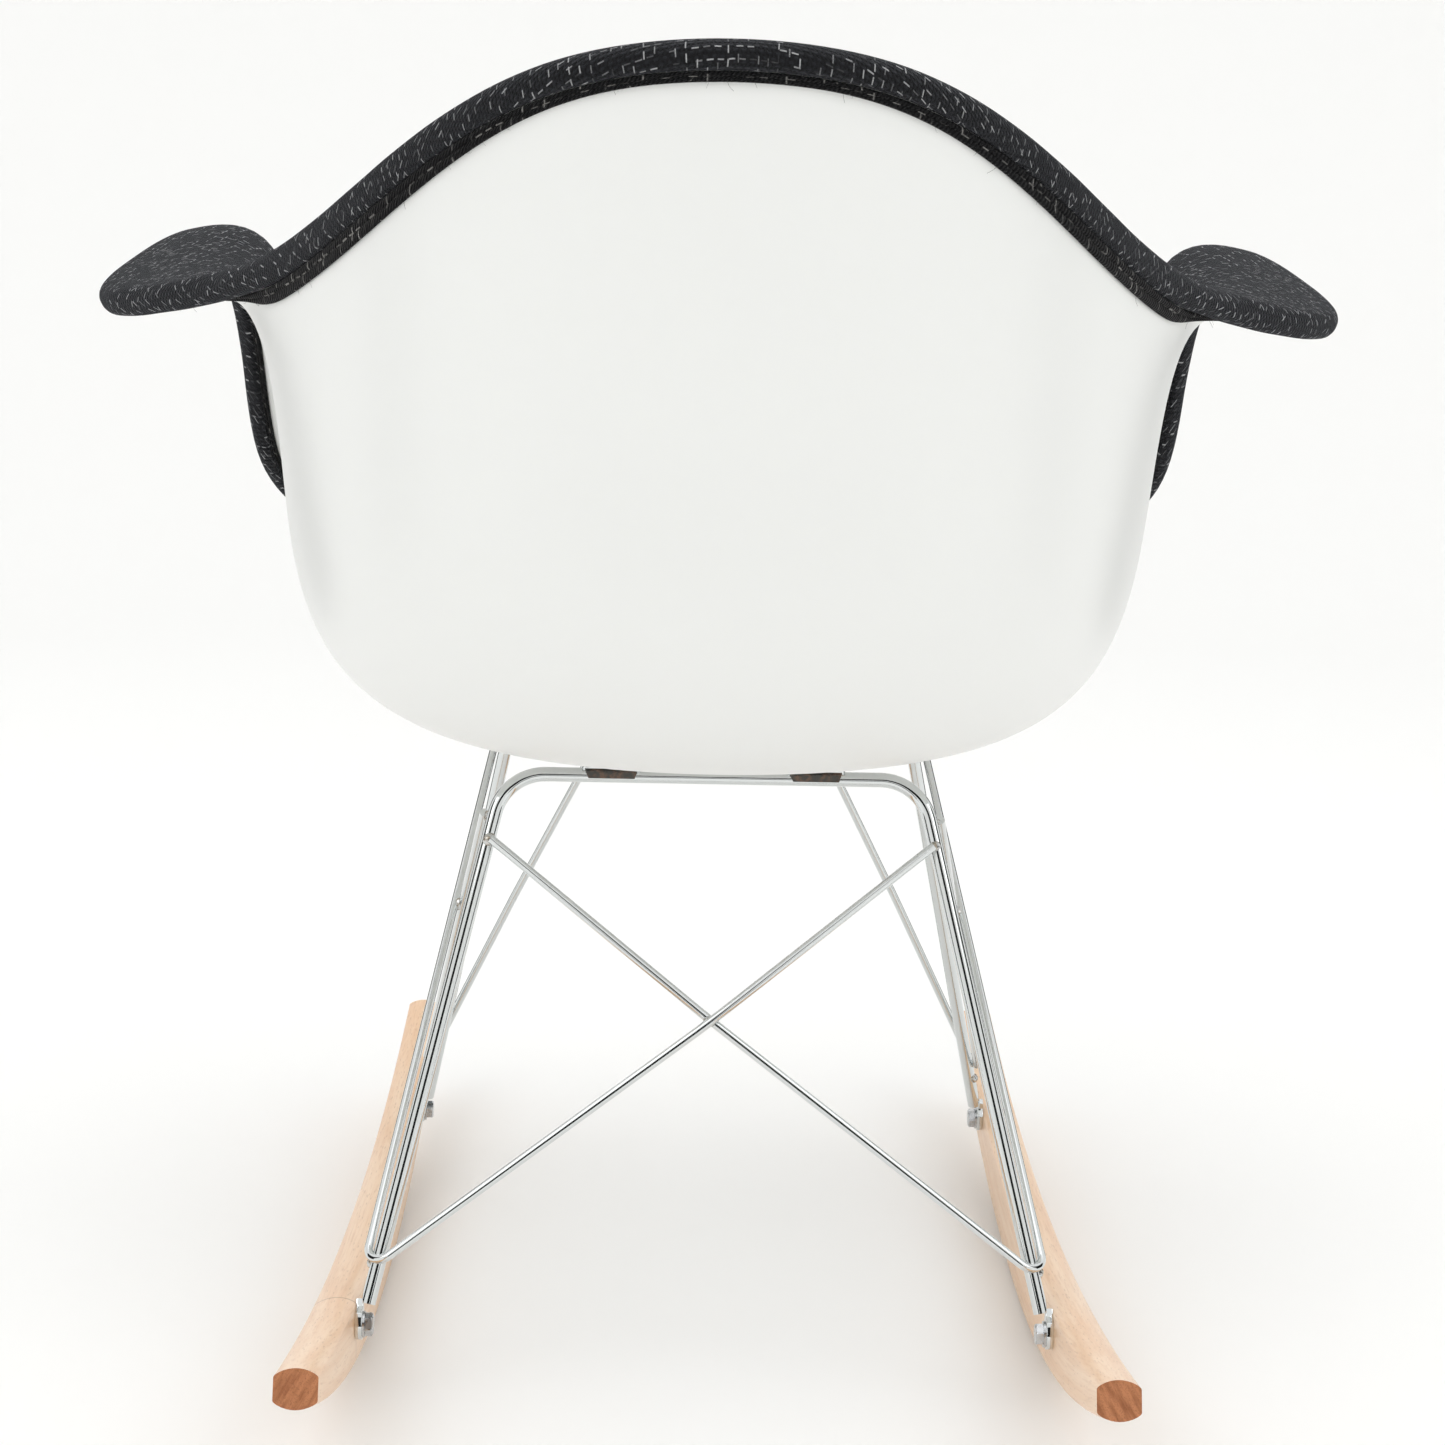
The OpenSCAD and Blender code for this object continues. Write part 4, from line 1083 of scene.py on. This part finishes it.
def hex_bolt():
    """A hexagon bolt along +X from the head's inner face, with its chamfered head, washer and shank."""
    points, faces = [], []

    def lathe(rings, sides, hexed=False):
        first = len(points)
        for x, r in rings:
            for j in range(sides):
                a = 2 * math.pi * j / sides
                rr = r
                if hexed:
                    flat = 5.0 / max(math.cos((a + math.pi / 6) % (math.pi / 3) - math.pi / 6), 0.1)
                    rr = min(flat, r)
                points.append((x, rr * math.cos(a), rr * math.sin(a)))
        for i in range(len(rings) - 1):
            for j in range(sides):
                a, b = first + i * sides + j, first + i * sides + (j + 1) % sides
                faces.append((a, b, b + sides, a + sides))
        faces.append(tuple(range(first, first + sides))[::-1])
        end = first + (len(rings) - 1) * sides
        faces.append(tuple(range(end, end + sides)))

    lathe([(-8.7, 4.5), (-8.25, 5.35), (-7.7, 5.77), (-5.2, 5.77), (-4.7, 5.5)], 48, hexed=True)
    lathe([(-4.7, 2.9), (11.0, 2.9), (11.6, 2.4)], 24)
    return points, faces


def bolt_piece():
    """The four rocker bolts, placed on their points and each turned a little differently."""
    points, faces = hex_bolt()
    model = make_outward(new_piece("bolt_model", points, faces, [use("zinc")]))
    sharpen(model, 25)
    spots = []
    for k, (bar, foot) in enumerate(((REAR_BAR, REAR_FOOT), (FRONT_BAR, FRONT_FOOT))):
        at = bolt_at(bar, foot)
        spots.append((tuple(at), (0.35 + 0.5 * k, 0, 0)))
        spots.append((mirrored(at), (0.15 + 0.4 * k, 0, math.pi)))
    mesh = bpy.data.meshes.new("Bolt spots")
    mesh.from_pydata([tuple(Vector(p) * MM) for p, _ in spots], [], [])
    layer = mesh.attributes.new("turn", "FLOAT_VECTOR", "POINT")
    layer.data.foreach_set("vector", [c for _, turn in spots for c in turn])
    base = bpy.data.objects.new("Bolt spots", mesh)
    bpy.context.scene.collection.objects.link(base)
    obj = grow("bolts", base, bolt_tree(), {"Bolt": model, "Material": use("zinc")})
    clear_piece("bolt_model")
    return obj


# ---------------------------------------------------------------- the rockers
def rocker_edges(s):
    """The rocking edge's point at an angle s: front below 0, rear above."""
    radius = np.where(s < 0, FRONT_ARC, REAR_ARC)
    y = RESTING_Y + radius * np.sin(s)
    z = radius - radius * np.cos(s)
    return y, z


def rocker_piece(name, side):
    """A bent board of even depth, crowned on top and bottom, with sawn ends and fine softened edges."""
    angles = np.concatenate([np.radians(np.linspace(-FRONT_END, 0, 60, endpoint=False)),
                             np.radians(np.linspace(0, REAR_END, 64))])
    y_low, z_low = rocker_edges(angles)
    # The top edge, met square to the rocking edge
    ny, nz = -np.sin(angles), np.cos(angles)
    centre = np.array((TOP_ARC_Y, TOP_ARC + ROCKER_H))
    dy, dz = y_low - centre[0], z_low - centre[1]
    half = dy * ny + dz * nz
    rise = -half - np.sqrt(half * half - (dy * dy + dz * dz - TOP_ARC**2))
    # Cross-section as (across from -1 to 1, up from 0 to 1 with an inward drop in millimetres)
    half_w = ROCKER_W / 2
    drops = [(1.0, 4.2), (0.985, 3.6), (0.93, 3.0), (0.8, 2.1), (0.6, 1.15), (0.38, 0.45), (0.18, 0.1),
             (0.0, 0.0)]
    bottom = [(-a, d) for a, d in drops] + [(a, d) for a, d in drops[-2::-1]]
    outline = [(a, 0, d) for a, d in bottom]
    outline += [(1.0, None, t) for t in (0.25, 0.5, 0.75)]
    outline += [(-a, 1, d) for a, d in bottom]
    outline += [(-1.0, None, t) for t in (0.75, 0.5, 0.25)]
    count = len(outline)
    points, grain = [], []
    length = np.r_[0, np.cumsum(np.hypot(np.diff(y_low), np.diff(z_low)))]
    for i in range(len(angles)):
        h = rise[i]
        for a, level, d in outline:
            if level == 0:
                up = d
            elif level == 1:
                up = h - d
            else:
                up = drops[0][1] + (h - 2 * drops[0][1]) * d
            x = side * (ROCKER_X + half_w + half_w * a)
            points.append((x, y_low[i] + ny[i] * up, z_low[i] + nz[i] * up))
            # Each rocker takes its grain from another part of the board
            grain.append((a * half_w + side * 40, length[i] + side * 900, up))
    faces, slots = [], []
    for i in range(len(angles) - 1):
        for j in range(count):
            a, b = i * count + j, i * count + (j + 1) % count
            faces.append((a, b, b + count, a + count))
            slots.append(0)
    for first in (0, (len(angles) - 1) * count):
        middle = len(points)
        ring = np.array(points[first:first + count])
        points.append(tuple(ring.mean(0)))
        grain.append(tuple(np.array(grain[first:first + count]).mean(0)))
        for j in range(count):
            faces.append((first + j, first + (j + 1) % count, middle)[::1 if first else -1])
            slots.append(1)
    obj = new_piece(name, points, faces, [use("beech"), use("end")], slots)
    obj = make_outward(obj)
    grain = np.array(grain)
    set_vector(obj, "grain", grain * MM)
    joint = np.full(len(points), 1000.0)
    if side > 0:
        across = np.array([p[0] - ROCKER_X - half_w for p in points])
        joint = np.array([p[1] for p in points]) - JOINT_Y - JOINT_SLANT * across
    layer = obj.data.attributes.new("joint", "FLOAT", "POINT")
    layer.data.foreach_set("value", (joint * MM).astype(np.float32))
    return sharpen(obj, 30)


# ---------------------------------------------------------------- the stage
def backdrop_piece(radius, sweep, height):
    """A pale studio floor that sweeps up into a wall all round."""
    profile = [(0.0, 0.0)] + [(r, 0.0) for r in (0.4, 0.9, 1.5, radius)]
    for a in np.radians(np.linspace(0, 90, 14))[1:]:
        profile.append((radius + sweep * math.sin(a), sweep - sweep * math.cos(a)))
    profile.append((radius + sweep, height))
    n = 96
    points = [(0, 0, 0)]
    for r, z in profile[1:]:
        points += [(r * math.cos(2 * math.pi * j / n) / MM, r * math.sin(2 * math.pi * j / n) / MM, z / MM)
                   for j in range(n)]
    faces = [(0, 1 + j, 1 + (j + 1) % n) for j in range(n)]
    faces += ring_faces(len(profile) - 1, n, first=1, turn=True)
    return new_piece("studio_floor", points, faces, [])


def card(name, place, aim, width, height, material):
    """A flat card of the studio, facing a point, that only reflections see."""
    half_w, half_h = width / 2, height / 2
    way = (Vector(aim) - Vector(place)).to_track_quat("Z", "Y").to_matrix()
    corners = [(-half_w, -half_h, 0), (half_w, -half_h, 0), (half_w, half_h, 0), (-half_w, half_h, 0)]
    points = [tuple((way @ Vector(c) + Vector(place)) / MM) for c in corners]
    obj = new_piece(name, points, [(0, 1, 2, 3)], [material])
    obj.visible_camera = False
    obj.visible_diffuse = False
    obj.visible_shadow = False
    return obj


def area_lamp(name, place, aim, width, height, power, colour="#ffffff"):
    """A soft rectangular studio light that the camera doesn't see."""
    old = bpy.data.objects.get(name)
    if old is not None:
        bpy.data.objects.remove(old)
    light = bpy.data.lights.new(name, "AREA")
    light.shape = "RECTANGLE"
    light.size, light.size_y = width, height
    light.energy = power
    light.color = srgb(colour)[:3]
    obj = bpy.data.objects.new(name, light)
    obj.location = place
    obj.rotation_euler = (Vector(aim) - Vector(place)).to_track_quat("-Z", "Y").to_euler()
    bpy.context.scene.collection.objects.link(obj)
    obj.visible_camera = False
    return obj


def stage_camera():
    """The camera behind the chair, a little above its rim."""
    old = bpy.data.objects.get("Camera")
    if old is not None:
        bpy.data.objects.remove(old)
    data = bpy.data.cameras.new("Camera")
    data.sensor_width = 36.0
    data.lens = CAMERA_LENS
    camera = bpy.data.objects.new("Camera", data)
    yaw, pitch, roll = (math.radians(a) for a in CAMERA_ANGLES)
    forward = Vector((math.sin(yaw) * math.cos(pitch), -math.cos(yaw) * math.cos(pitch), math.sin(pitch)))
    right = forward.cross(Vector((0, 0, 1))).normalized()
    up = right.cross(forward)
    r = math.cos(roll) * right + math.sin(roll) * up
    u = -math.sin(roll) * right + math.cos(roll) * up
    turn = Matrix((r, u, -forward)).transposed().to_4x4()
    camera.matrix_world = Matrix.Translation(CAMERA_AT) @ turn
    bpy.context.scene.collection.objects.link(camera)
    bpy.context.scene.camera = camera
    return camera


# ---------------------------------------------------------------- settings and operators
class ArmchairCoverSettings(bpy.types.PropertyGroup):
    """How fine the seat is made and how hairy its edge is."""

    columns: bpy.props.IntProperty(
        name="Column samples", description="Samples round the seat for each column of its form",
        default=12, min=4, max=20)
    rows: bpy.props.IntProperty(
        name="Meridian samples", description="Samples from the seat's middle to its rim",
        default=64, min=24, max=120)
    fibre_density: bpy.props.FloatProperty(
        name="Loose fibres", description="Loose fibres on each square metre of the welt",
        default=16000.0, min=0.0, max=60000.0)
    fibre_length: bpy.props.FloatProperty(
        name="Fibre length", description="Length of the longest loose fibre",
        default=0.0055, min=0.001, max=0.012, subtype="DISTANCE", unit="LENGTH")


class ArmchairColourSettings(bpy.types.PropertyGroup):
    """The colours of the armchair; run a piece's step again to give it the colours now set."""

    shell: bpy.props.FloatVectorProperty(
        name="Shell", description="Moulded seat shell", subtype="COLOR", size=4,
        default=srgb("#ebecea"), min=0.0, max=1.0)
    yarn: bpy.props.FloatVectorProperty(
        name="Yarn", description="Tops of the cover's dark threads", subtype="COLOR", size=4,
        default=srgb("#1f2024"), min=0.0, max=1.0)
    slub: bpy.props.FloatVectorProperty(
        name="Slubs", description="Pale dashes in the cover's weave", subtype="COLOR", size=4,
        default=srgb("#cfd0d2"), min=0.0, max=1.0)
    cord: bpy.props.FloatVectorProperty(
        name="Cord", description="Twisted cord behind the rim", subtype="COLOR", size=4,
        default=srgb("#151517"), min=0.0, max=1.0)
    wood: bpy.props.FloatVectorProperty(
        name="Wood", description="Light wood of the rockers", subtype="COLOR", size=4,
        default=srgb("#f4d2af"), min=0.0, max=1.0)
    grain: bpy.props.FloatVectorProperty(
        name="Grain", description="Darker bands in the rockers' wood", subtype="COLOR", size=4,
        default=srgb("#eabd92"), min=0.0, max=1.0)
    plate: bpy.props.FloatVectorProperty(
        name="Plating", description="Bright plate on the wire base", subtype="COLOR", size=4,
        default=srgb("#d9dcdc"), min=0.0, max=1.0)


class ArmchairBaseSettings(bpy.types.PropertyGroup):
    """The finish of the wire base."""

    bead_radius: bpy.props.FloatProperty(
        name="Bead radius", description="Radius of a weld bead",
        default=0.0030, min=0.001, max=0.006, subtype="DISTANCE", unit="LENGTH")
    bead_dents: bpy.props.FloatProperty(
        name="Bead dents", description="Depth of the dents in a weld bead",
        default=0.0012, min=0.0, max=0.003, subtype="DISTANCE", unit="LENGTH")
    seed: bpy.props.IntProperty(
        name="Seed", description="Which chance arrangement the beads and fibres take",
        default=7, min=0, max=999)


class ArmchairStageSettings(bpy.types.PropertyGroup):
    """The studio round the chair."""

    floor_radius: bpy.props.FloatProperty(
        name="Floor radius", description="Radius of the flat part of the studio floor",
        default=2.6, min=1.0, max=8.0, subtype="DISTANCE", unit="LENGTH")
    sky: bpy.props.FloatProperty(
        name="Fill light", description="Strength of the even light from all round",
        default=1.0, min=0.0, max=3.0)
    key: bpy.props.FloatProperty(
        name="Key light", description="Power of the left soft box", default=9.0, min=0.0, max=500.0,
        unit="POWER")
    side: bpy.props.FloatProperty(
        name="Side light", description="Power of the right soft box", default=7.0, min=0.0, max=500.0,
        unit="POWER")


class ARMCHAIR_OT_shell(bpy.types.Operator):
    """Build the moulded bucket shell"""

    bl_idname = "armchair.shell"
    bl_label = "Shell"

    def execute(self, context):
        cover = context.scene.armchair_cover
        obj = skin_piece("shell", use("shell"), 0.0, 4.0, cover.columns, cover.rows)
        settle_piece(make_outward(obj), "shell_plastic", "seat_shell")
        return {"FINISHED"}


class ARMCHAIR_OT_foam(bpy.types.Operator):
    """Build the thin foam between the shell and the cloth"""

    bl_idname = "armchair.foam"
    bl_label = "Foam"

    def execute(self, context):
        obj = skin_piece("foam", use("foam"), 4.2, 9.2, 5, 36)
        settle_piece(make_outward(obj), "foam", "foam_pad")
        return {"FINISHED"}


class ARMCHAIR_OT_cover(bpy.types.Operator):
    """Build the tweed cover with its rolled edge, the welt cord and their loose fibres"""

    bl_idname = "armchair.cover"
    bl_label = "Cover"

    def execute(self, context):
        cover = context.scene.armchair_cover
        cloth = settle_piece(make_outward(cover_piece(cover.columns, cover.rows)), "tweed",
                             "fabric_lining", "fabric_rim")
        welt = make_outward(welt_piece())
        base = welt.copy()
        base.data = welt.data.copy()
        context.scene.collection.objects.link(base)
        settle_piece(welt, "welt", "edge_welt")
        fibres = grow("loose_fibres", base, hair_tree(), {
            "Density": cover.fibre_density, "Length": cover.fibre_length, "Thickness": 0.00007,
            "Seed": context.scene.armchair_base.seed, "Material": use("welt")})
        settle_piece(fibres, "welt")
        return {"FINISHED"}


class ARMCHAIR_OT_hoops(bpy.types.Operator):
    """Build the two bent hoops with their flattened feet"""

    bl_idname = "armchair.hoops"
    bl_label = "Hoops"

    def execute(self, context):
        settle_piece(hoop_piece("hoop_rear", REAR_BAR, REAR_FOOT), "chrome_rod", "rear_hoop")
        settle_piece(hoop_piece("hoop_front", FRONT_BAR, FRONT_FOOT), "chrome_rod", "front_hoop")
        return {"FINISHED"}


class ARMCHAIR_OT_braces(bpy.types.Operator):
    """Build the four thin braces"""

    bl_idname = "armchair.braces"
    bl_label = "Braces"

    def execute(self, context):
        bends = [8, 300]
        for label, side in (("left", 1), ("right", -1)):
            flip = (lambda p: p) if side > 0 else mirrored
            # Where the rear braces cross, one passes behind the other
            crossing = (0, CROSSING[1] + side * BRACE_R, CROSSING[2])
            rear = [REAR_BRACE[0], REAR_BRACE[1], crossing, REAR_BRACE[3]]
            path = [flip(p) for p in rear]
            obj = bent_rod("brace_rear_" + label, path, bends, BRACE_R, use("chrome"))
            settle_piece(sharpen(obj), "chrome_rod", label + "_rear_brace")
            path = [flip(p) for p in FRONT_BRACE]
            obj = bent_rod("brace_front_" + label, path, bends, BRACE_R, use("chrome"))
            settle_piece(sharpen(obj), "chrome_rod", label + "_front_brace")
        return {"FINISHED"}


class ARMCHAIR_OT_welds(bpy.types.Operator):
    """Build the weld beads where rods meet"""

    bl_idname = "armchair.welds"
    bl_label = "Welds"

    def execute(self, context):
        base_settings = context.scene.armchair_base
        mesh = bpy.data.meshes.new("Bead spots")
        mesh.from_pydata([tuple(Vector(p) * MM) for p in bead_points()], [], [])
        base = bpy.data.objects.new("Bead spots", mesh)
        context.scene.collection.objects.link(base)
        obj = grow("welds", base, bead_tree(), {
            "Bead Radius": base_settings.bead_radius, "Roughness": base_settings.bead_dents,
            "Seed": base_settings.seed, "Material": use("weld")})
        settle_piece(obj, "weld", "weld_beads")
        return {"FINISHED"}


class ARMCHAIR_OT_mounts(bpy.types.Operator):
    """Build the plates that carry the shell"""

    bl_idname = "armchair.mounts"
    bl_label = "Mounts"

    def execute(self, context):
        rear = saddle_piece("mounts_rear", 52, 75, 303.5, -6.0, 1)
        settle_piece(rear, "chrome_rod", "rear_mount_plates")
        front = saddle_piece("mounts_front", 52, -73, 319.8, -3.5, -1)
        settle_piece(front, "chrome_rod", "front_mount_plates")
        return {"FINISHED"}


class ARMCHAIR_OT_bolts(bpy.types.Operator):
    """Build the hexagon bolts that hold the legs to the rockers"""

    bl_idname = "armchair.bolts"
    bl_label = "Rocker bolts"

    def execute(self, context):
        settle_piece(bolt_piece(), "zinc", "rocker_bolts")
        return {"FINISHED"}


class ARMCHAIR_OT_rockers(bpy.types.Operator):
    """Build the two bent beech rockers"""

    bl_idname = "armchair.rockers"
    bl_label = "Rockers"

    def execute(self, context):
        settle_piece(rocker_piece("rocker_left", 1), "beech", "left_rocker")
        settle_piece(rocker_piece("rocker_right", -1), "beech", "right_rocker")
        return {"FINISHED"}


class ARMCHAIR_OT_fittings(bpy.types.Operator):
    """Give the small fittings under the seat and in the rockers their materials"""

    bl_idname = "armchair.fittings"
    bl_label = "Fittings"

    finishes = {
        "shell_bosses": ("shell", "boss_plastic"), "boss_inserts": ("brass", "insert_brass"),
        "rocker_inserts": ("brass", "insert_brass"), "rubber_spacers": ("rubber", "spacer_rubber"),
        "seat_screws": ("zinc", "zinc"), "seat_washers": ("zinc", "zinc"), "rocker_washers": ("zinc", "zinc"),
    }

    def execute(self, context):
        for node, (key, slot) in self.finishes.items():
            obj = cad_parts[node]
            obj.data.materials.clear()
            obj.data.materials.append(use(key))
        return {"FINISHED"}


class ARMCHAIR_OT_stage(bpy.types.Operator):
    """Set the studio floor, the soft lights, the dark cards and the camera"""

    bl_idname = "armchair.stage"
    bl_label = "Stage"

    def execute(self, context):
        scene = context.scene
        studio = scene.armchair_stage
        floor = backdrop_piece(studio.floor_radius, 1.2, 3.2)
        material, tree, shader = start_material("Pale painted studio floor", {
            "Base Color": srgb("#fafaf9"), "Roughness": 0.5, "IOR": 1.4, "Specular IOR Level": 0.0})
        where = add_node(tree, "ShaderNodeTexCoord").outputs["Object"]
        patches = add_node(tree, "ShaderNodeTexNoise",
                           {"Vector": where, "Scale": 3.0, "Detail": 2.0}).outputs["Fac"]
        tree.links.new(add_node(tree, "ShaderNodeMapRange",
                                {"Value": patches, "From Min": 0.3, "From Max": 0.7, "To Min": 0.42,
                                 "To Max": 0.5}, interpolation_type="SMOOTHSTEP").outputs["Result"],
                       shader.inputs["Roughness"])
        floor.data.materials.append(material)
        dark, _, _ = start_material("Black studio card", {"Base Color": srgb("#0b0b0c"), "Roughness": 0.9})
        for label, turn, reach, wide, low, high in (
                ("left", 78, 1.3, 0.55, 0.0, 1.1), ("right", -78, 1.3, 0.55, 0.0, 1.1),
                ("front_left", 132, 1.4, 0.5, 0.0, 1.1), ("front_right", -132, 1.4, 0.5, 0.0, 1.1),
                ("rear", 0, 0.95, 1.1, 0.05, 0.19), ("camera", 0, 2.3, 1.3, 0.3, 1.5)):
            a = math.radians(turn)
            place = (reach * math.sin(a), reach * math.cos(a), (low + high) / 2)
            card("card_" + label, place, (0, 0, (low + high) / 2), wide, high - low, dark)
        area_lamp("Soft box left", (1.7, 1.5, 2.3), (0, 0, 0.3), 1.5, 1.5, studio.key)
        area_lamp("Soft box right", (-1.9, 1.3, 2.1), (0, 0, 0.3), 1.4, 1.4, studio.side)
        area_lamp("Soft box above", (0, -0.2, 2.9), (0, 0, 0.3), 2.2, 2.2, 8.0)
        world = bpy.data.worlds.new("Studio")
        world.use_nodes = True
        back = world.node_tree.nodes["Background"]
        back.inputs["Color"].default_value = (1.0, 1.0, 1.0, 1.0)
        back.inputs["Strength"].default_value = studio.sky
        scene.world = world
        scene.view_settings.view_transform = "Standard"
        stage_camera()
        return {"FINISHED"}


STEPS = (ARMCHAIR_OT_shell, ARMCHAIR_OT_foam, ARMCHAIR_OT_cover, ARMCHAIR_OT_hoops, ARMCHAIR_OT_braces,
         ARMCHAIR_OT_welds, ARMCHAIR_OT_mounts, ARMCHAIR_OT_bolts, ARMCHAIR_OT_rockers,
         ARMCHAIR_OT_fittings, ARMCHAIR_OT_stage)


class VIEW3D_PT_armchair(bpy.types.Panel):
    """Buttons for each piece of the armchair and its stage"""

    bl_idname = "VIEW3D_PT_armchair"
    bl_label = "Rocking Armchair"
    bl_space_type = "VIEW_3D"
    bl_region_type = "UI"
    bl_category = "Armchair"

    def draw(self, context):
        layout = self.layout
        for group, _ in SETTINGS:
            box = layout.box()
            settings = getattr(context.scene, group)
            for key in settings.__annotations__:
                box.prop(settings, key)
        column = layout.column(align=True)
        for step in STEPS:
            column.operator(step.bl_idname)


SETTINGS = (("armchair_cover", ArmchairCoverSettings), ("armchair_colours", ArmchairColourSettings),
            ("armchair_base", ArmchairBaseSettings), ("armchair_stage", ArmchairStageSettings))


def register():
    """Registers the settings, the operators and the panel."""
    for name, group in SETTINGS:
        bpy.utils.register_class(group)
        setattr(bpy.types.Scene, name, bpy.props.PointerProperty(type=group))
    for step in STEPS:
        bpy.utils.register_class(step)
    bpy.utils.register_class(VIEW3D_PT_armchair)


def unregister():
    """Removes what register added."""
    bpy.utils.unregister_class(VIEW3D_PT_armchair)
    for step in reversed(STEPS):
        bpy.utils.unregister_class(step)
    for name, group in reversed(SETTINGS):
        delattr(bpy.types.Scene, name)
        bpy.utils.unregister_class(group)


def main():
    """Builds every piece in order."""
    register()
    bpy.ops.armchair.shell()
    bpy.ops.armchair.foam()
    bpy.ops.armchair.cover()
    bpy.ops.armchair.hoops()
    bpy.ops.armchair.braces()
    bpy.ops.armchair.welds()
    bpy.ops.armchair.mounts()
    bpy.ops.armchair.bolts()
    bpy.ops.armchair.rockers()
    bpy.ops.armchair.fittings()
    bpy.ops.armchair.stage()


if __name__ == "__main__":
    main()
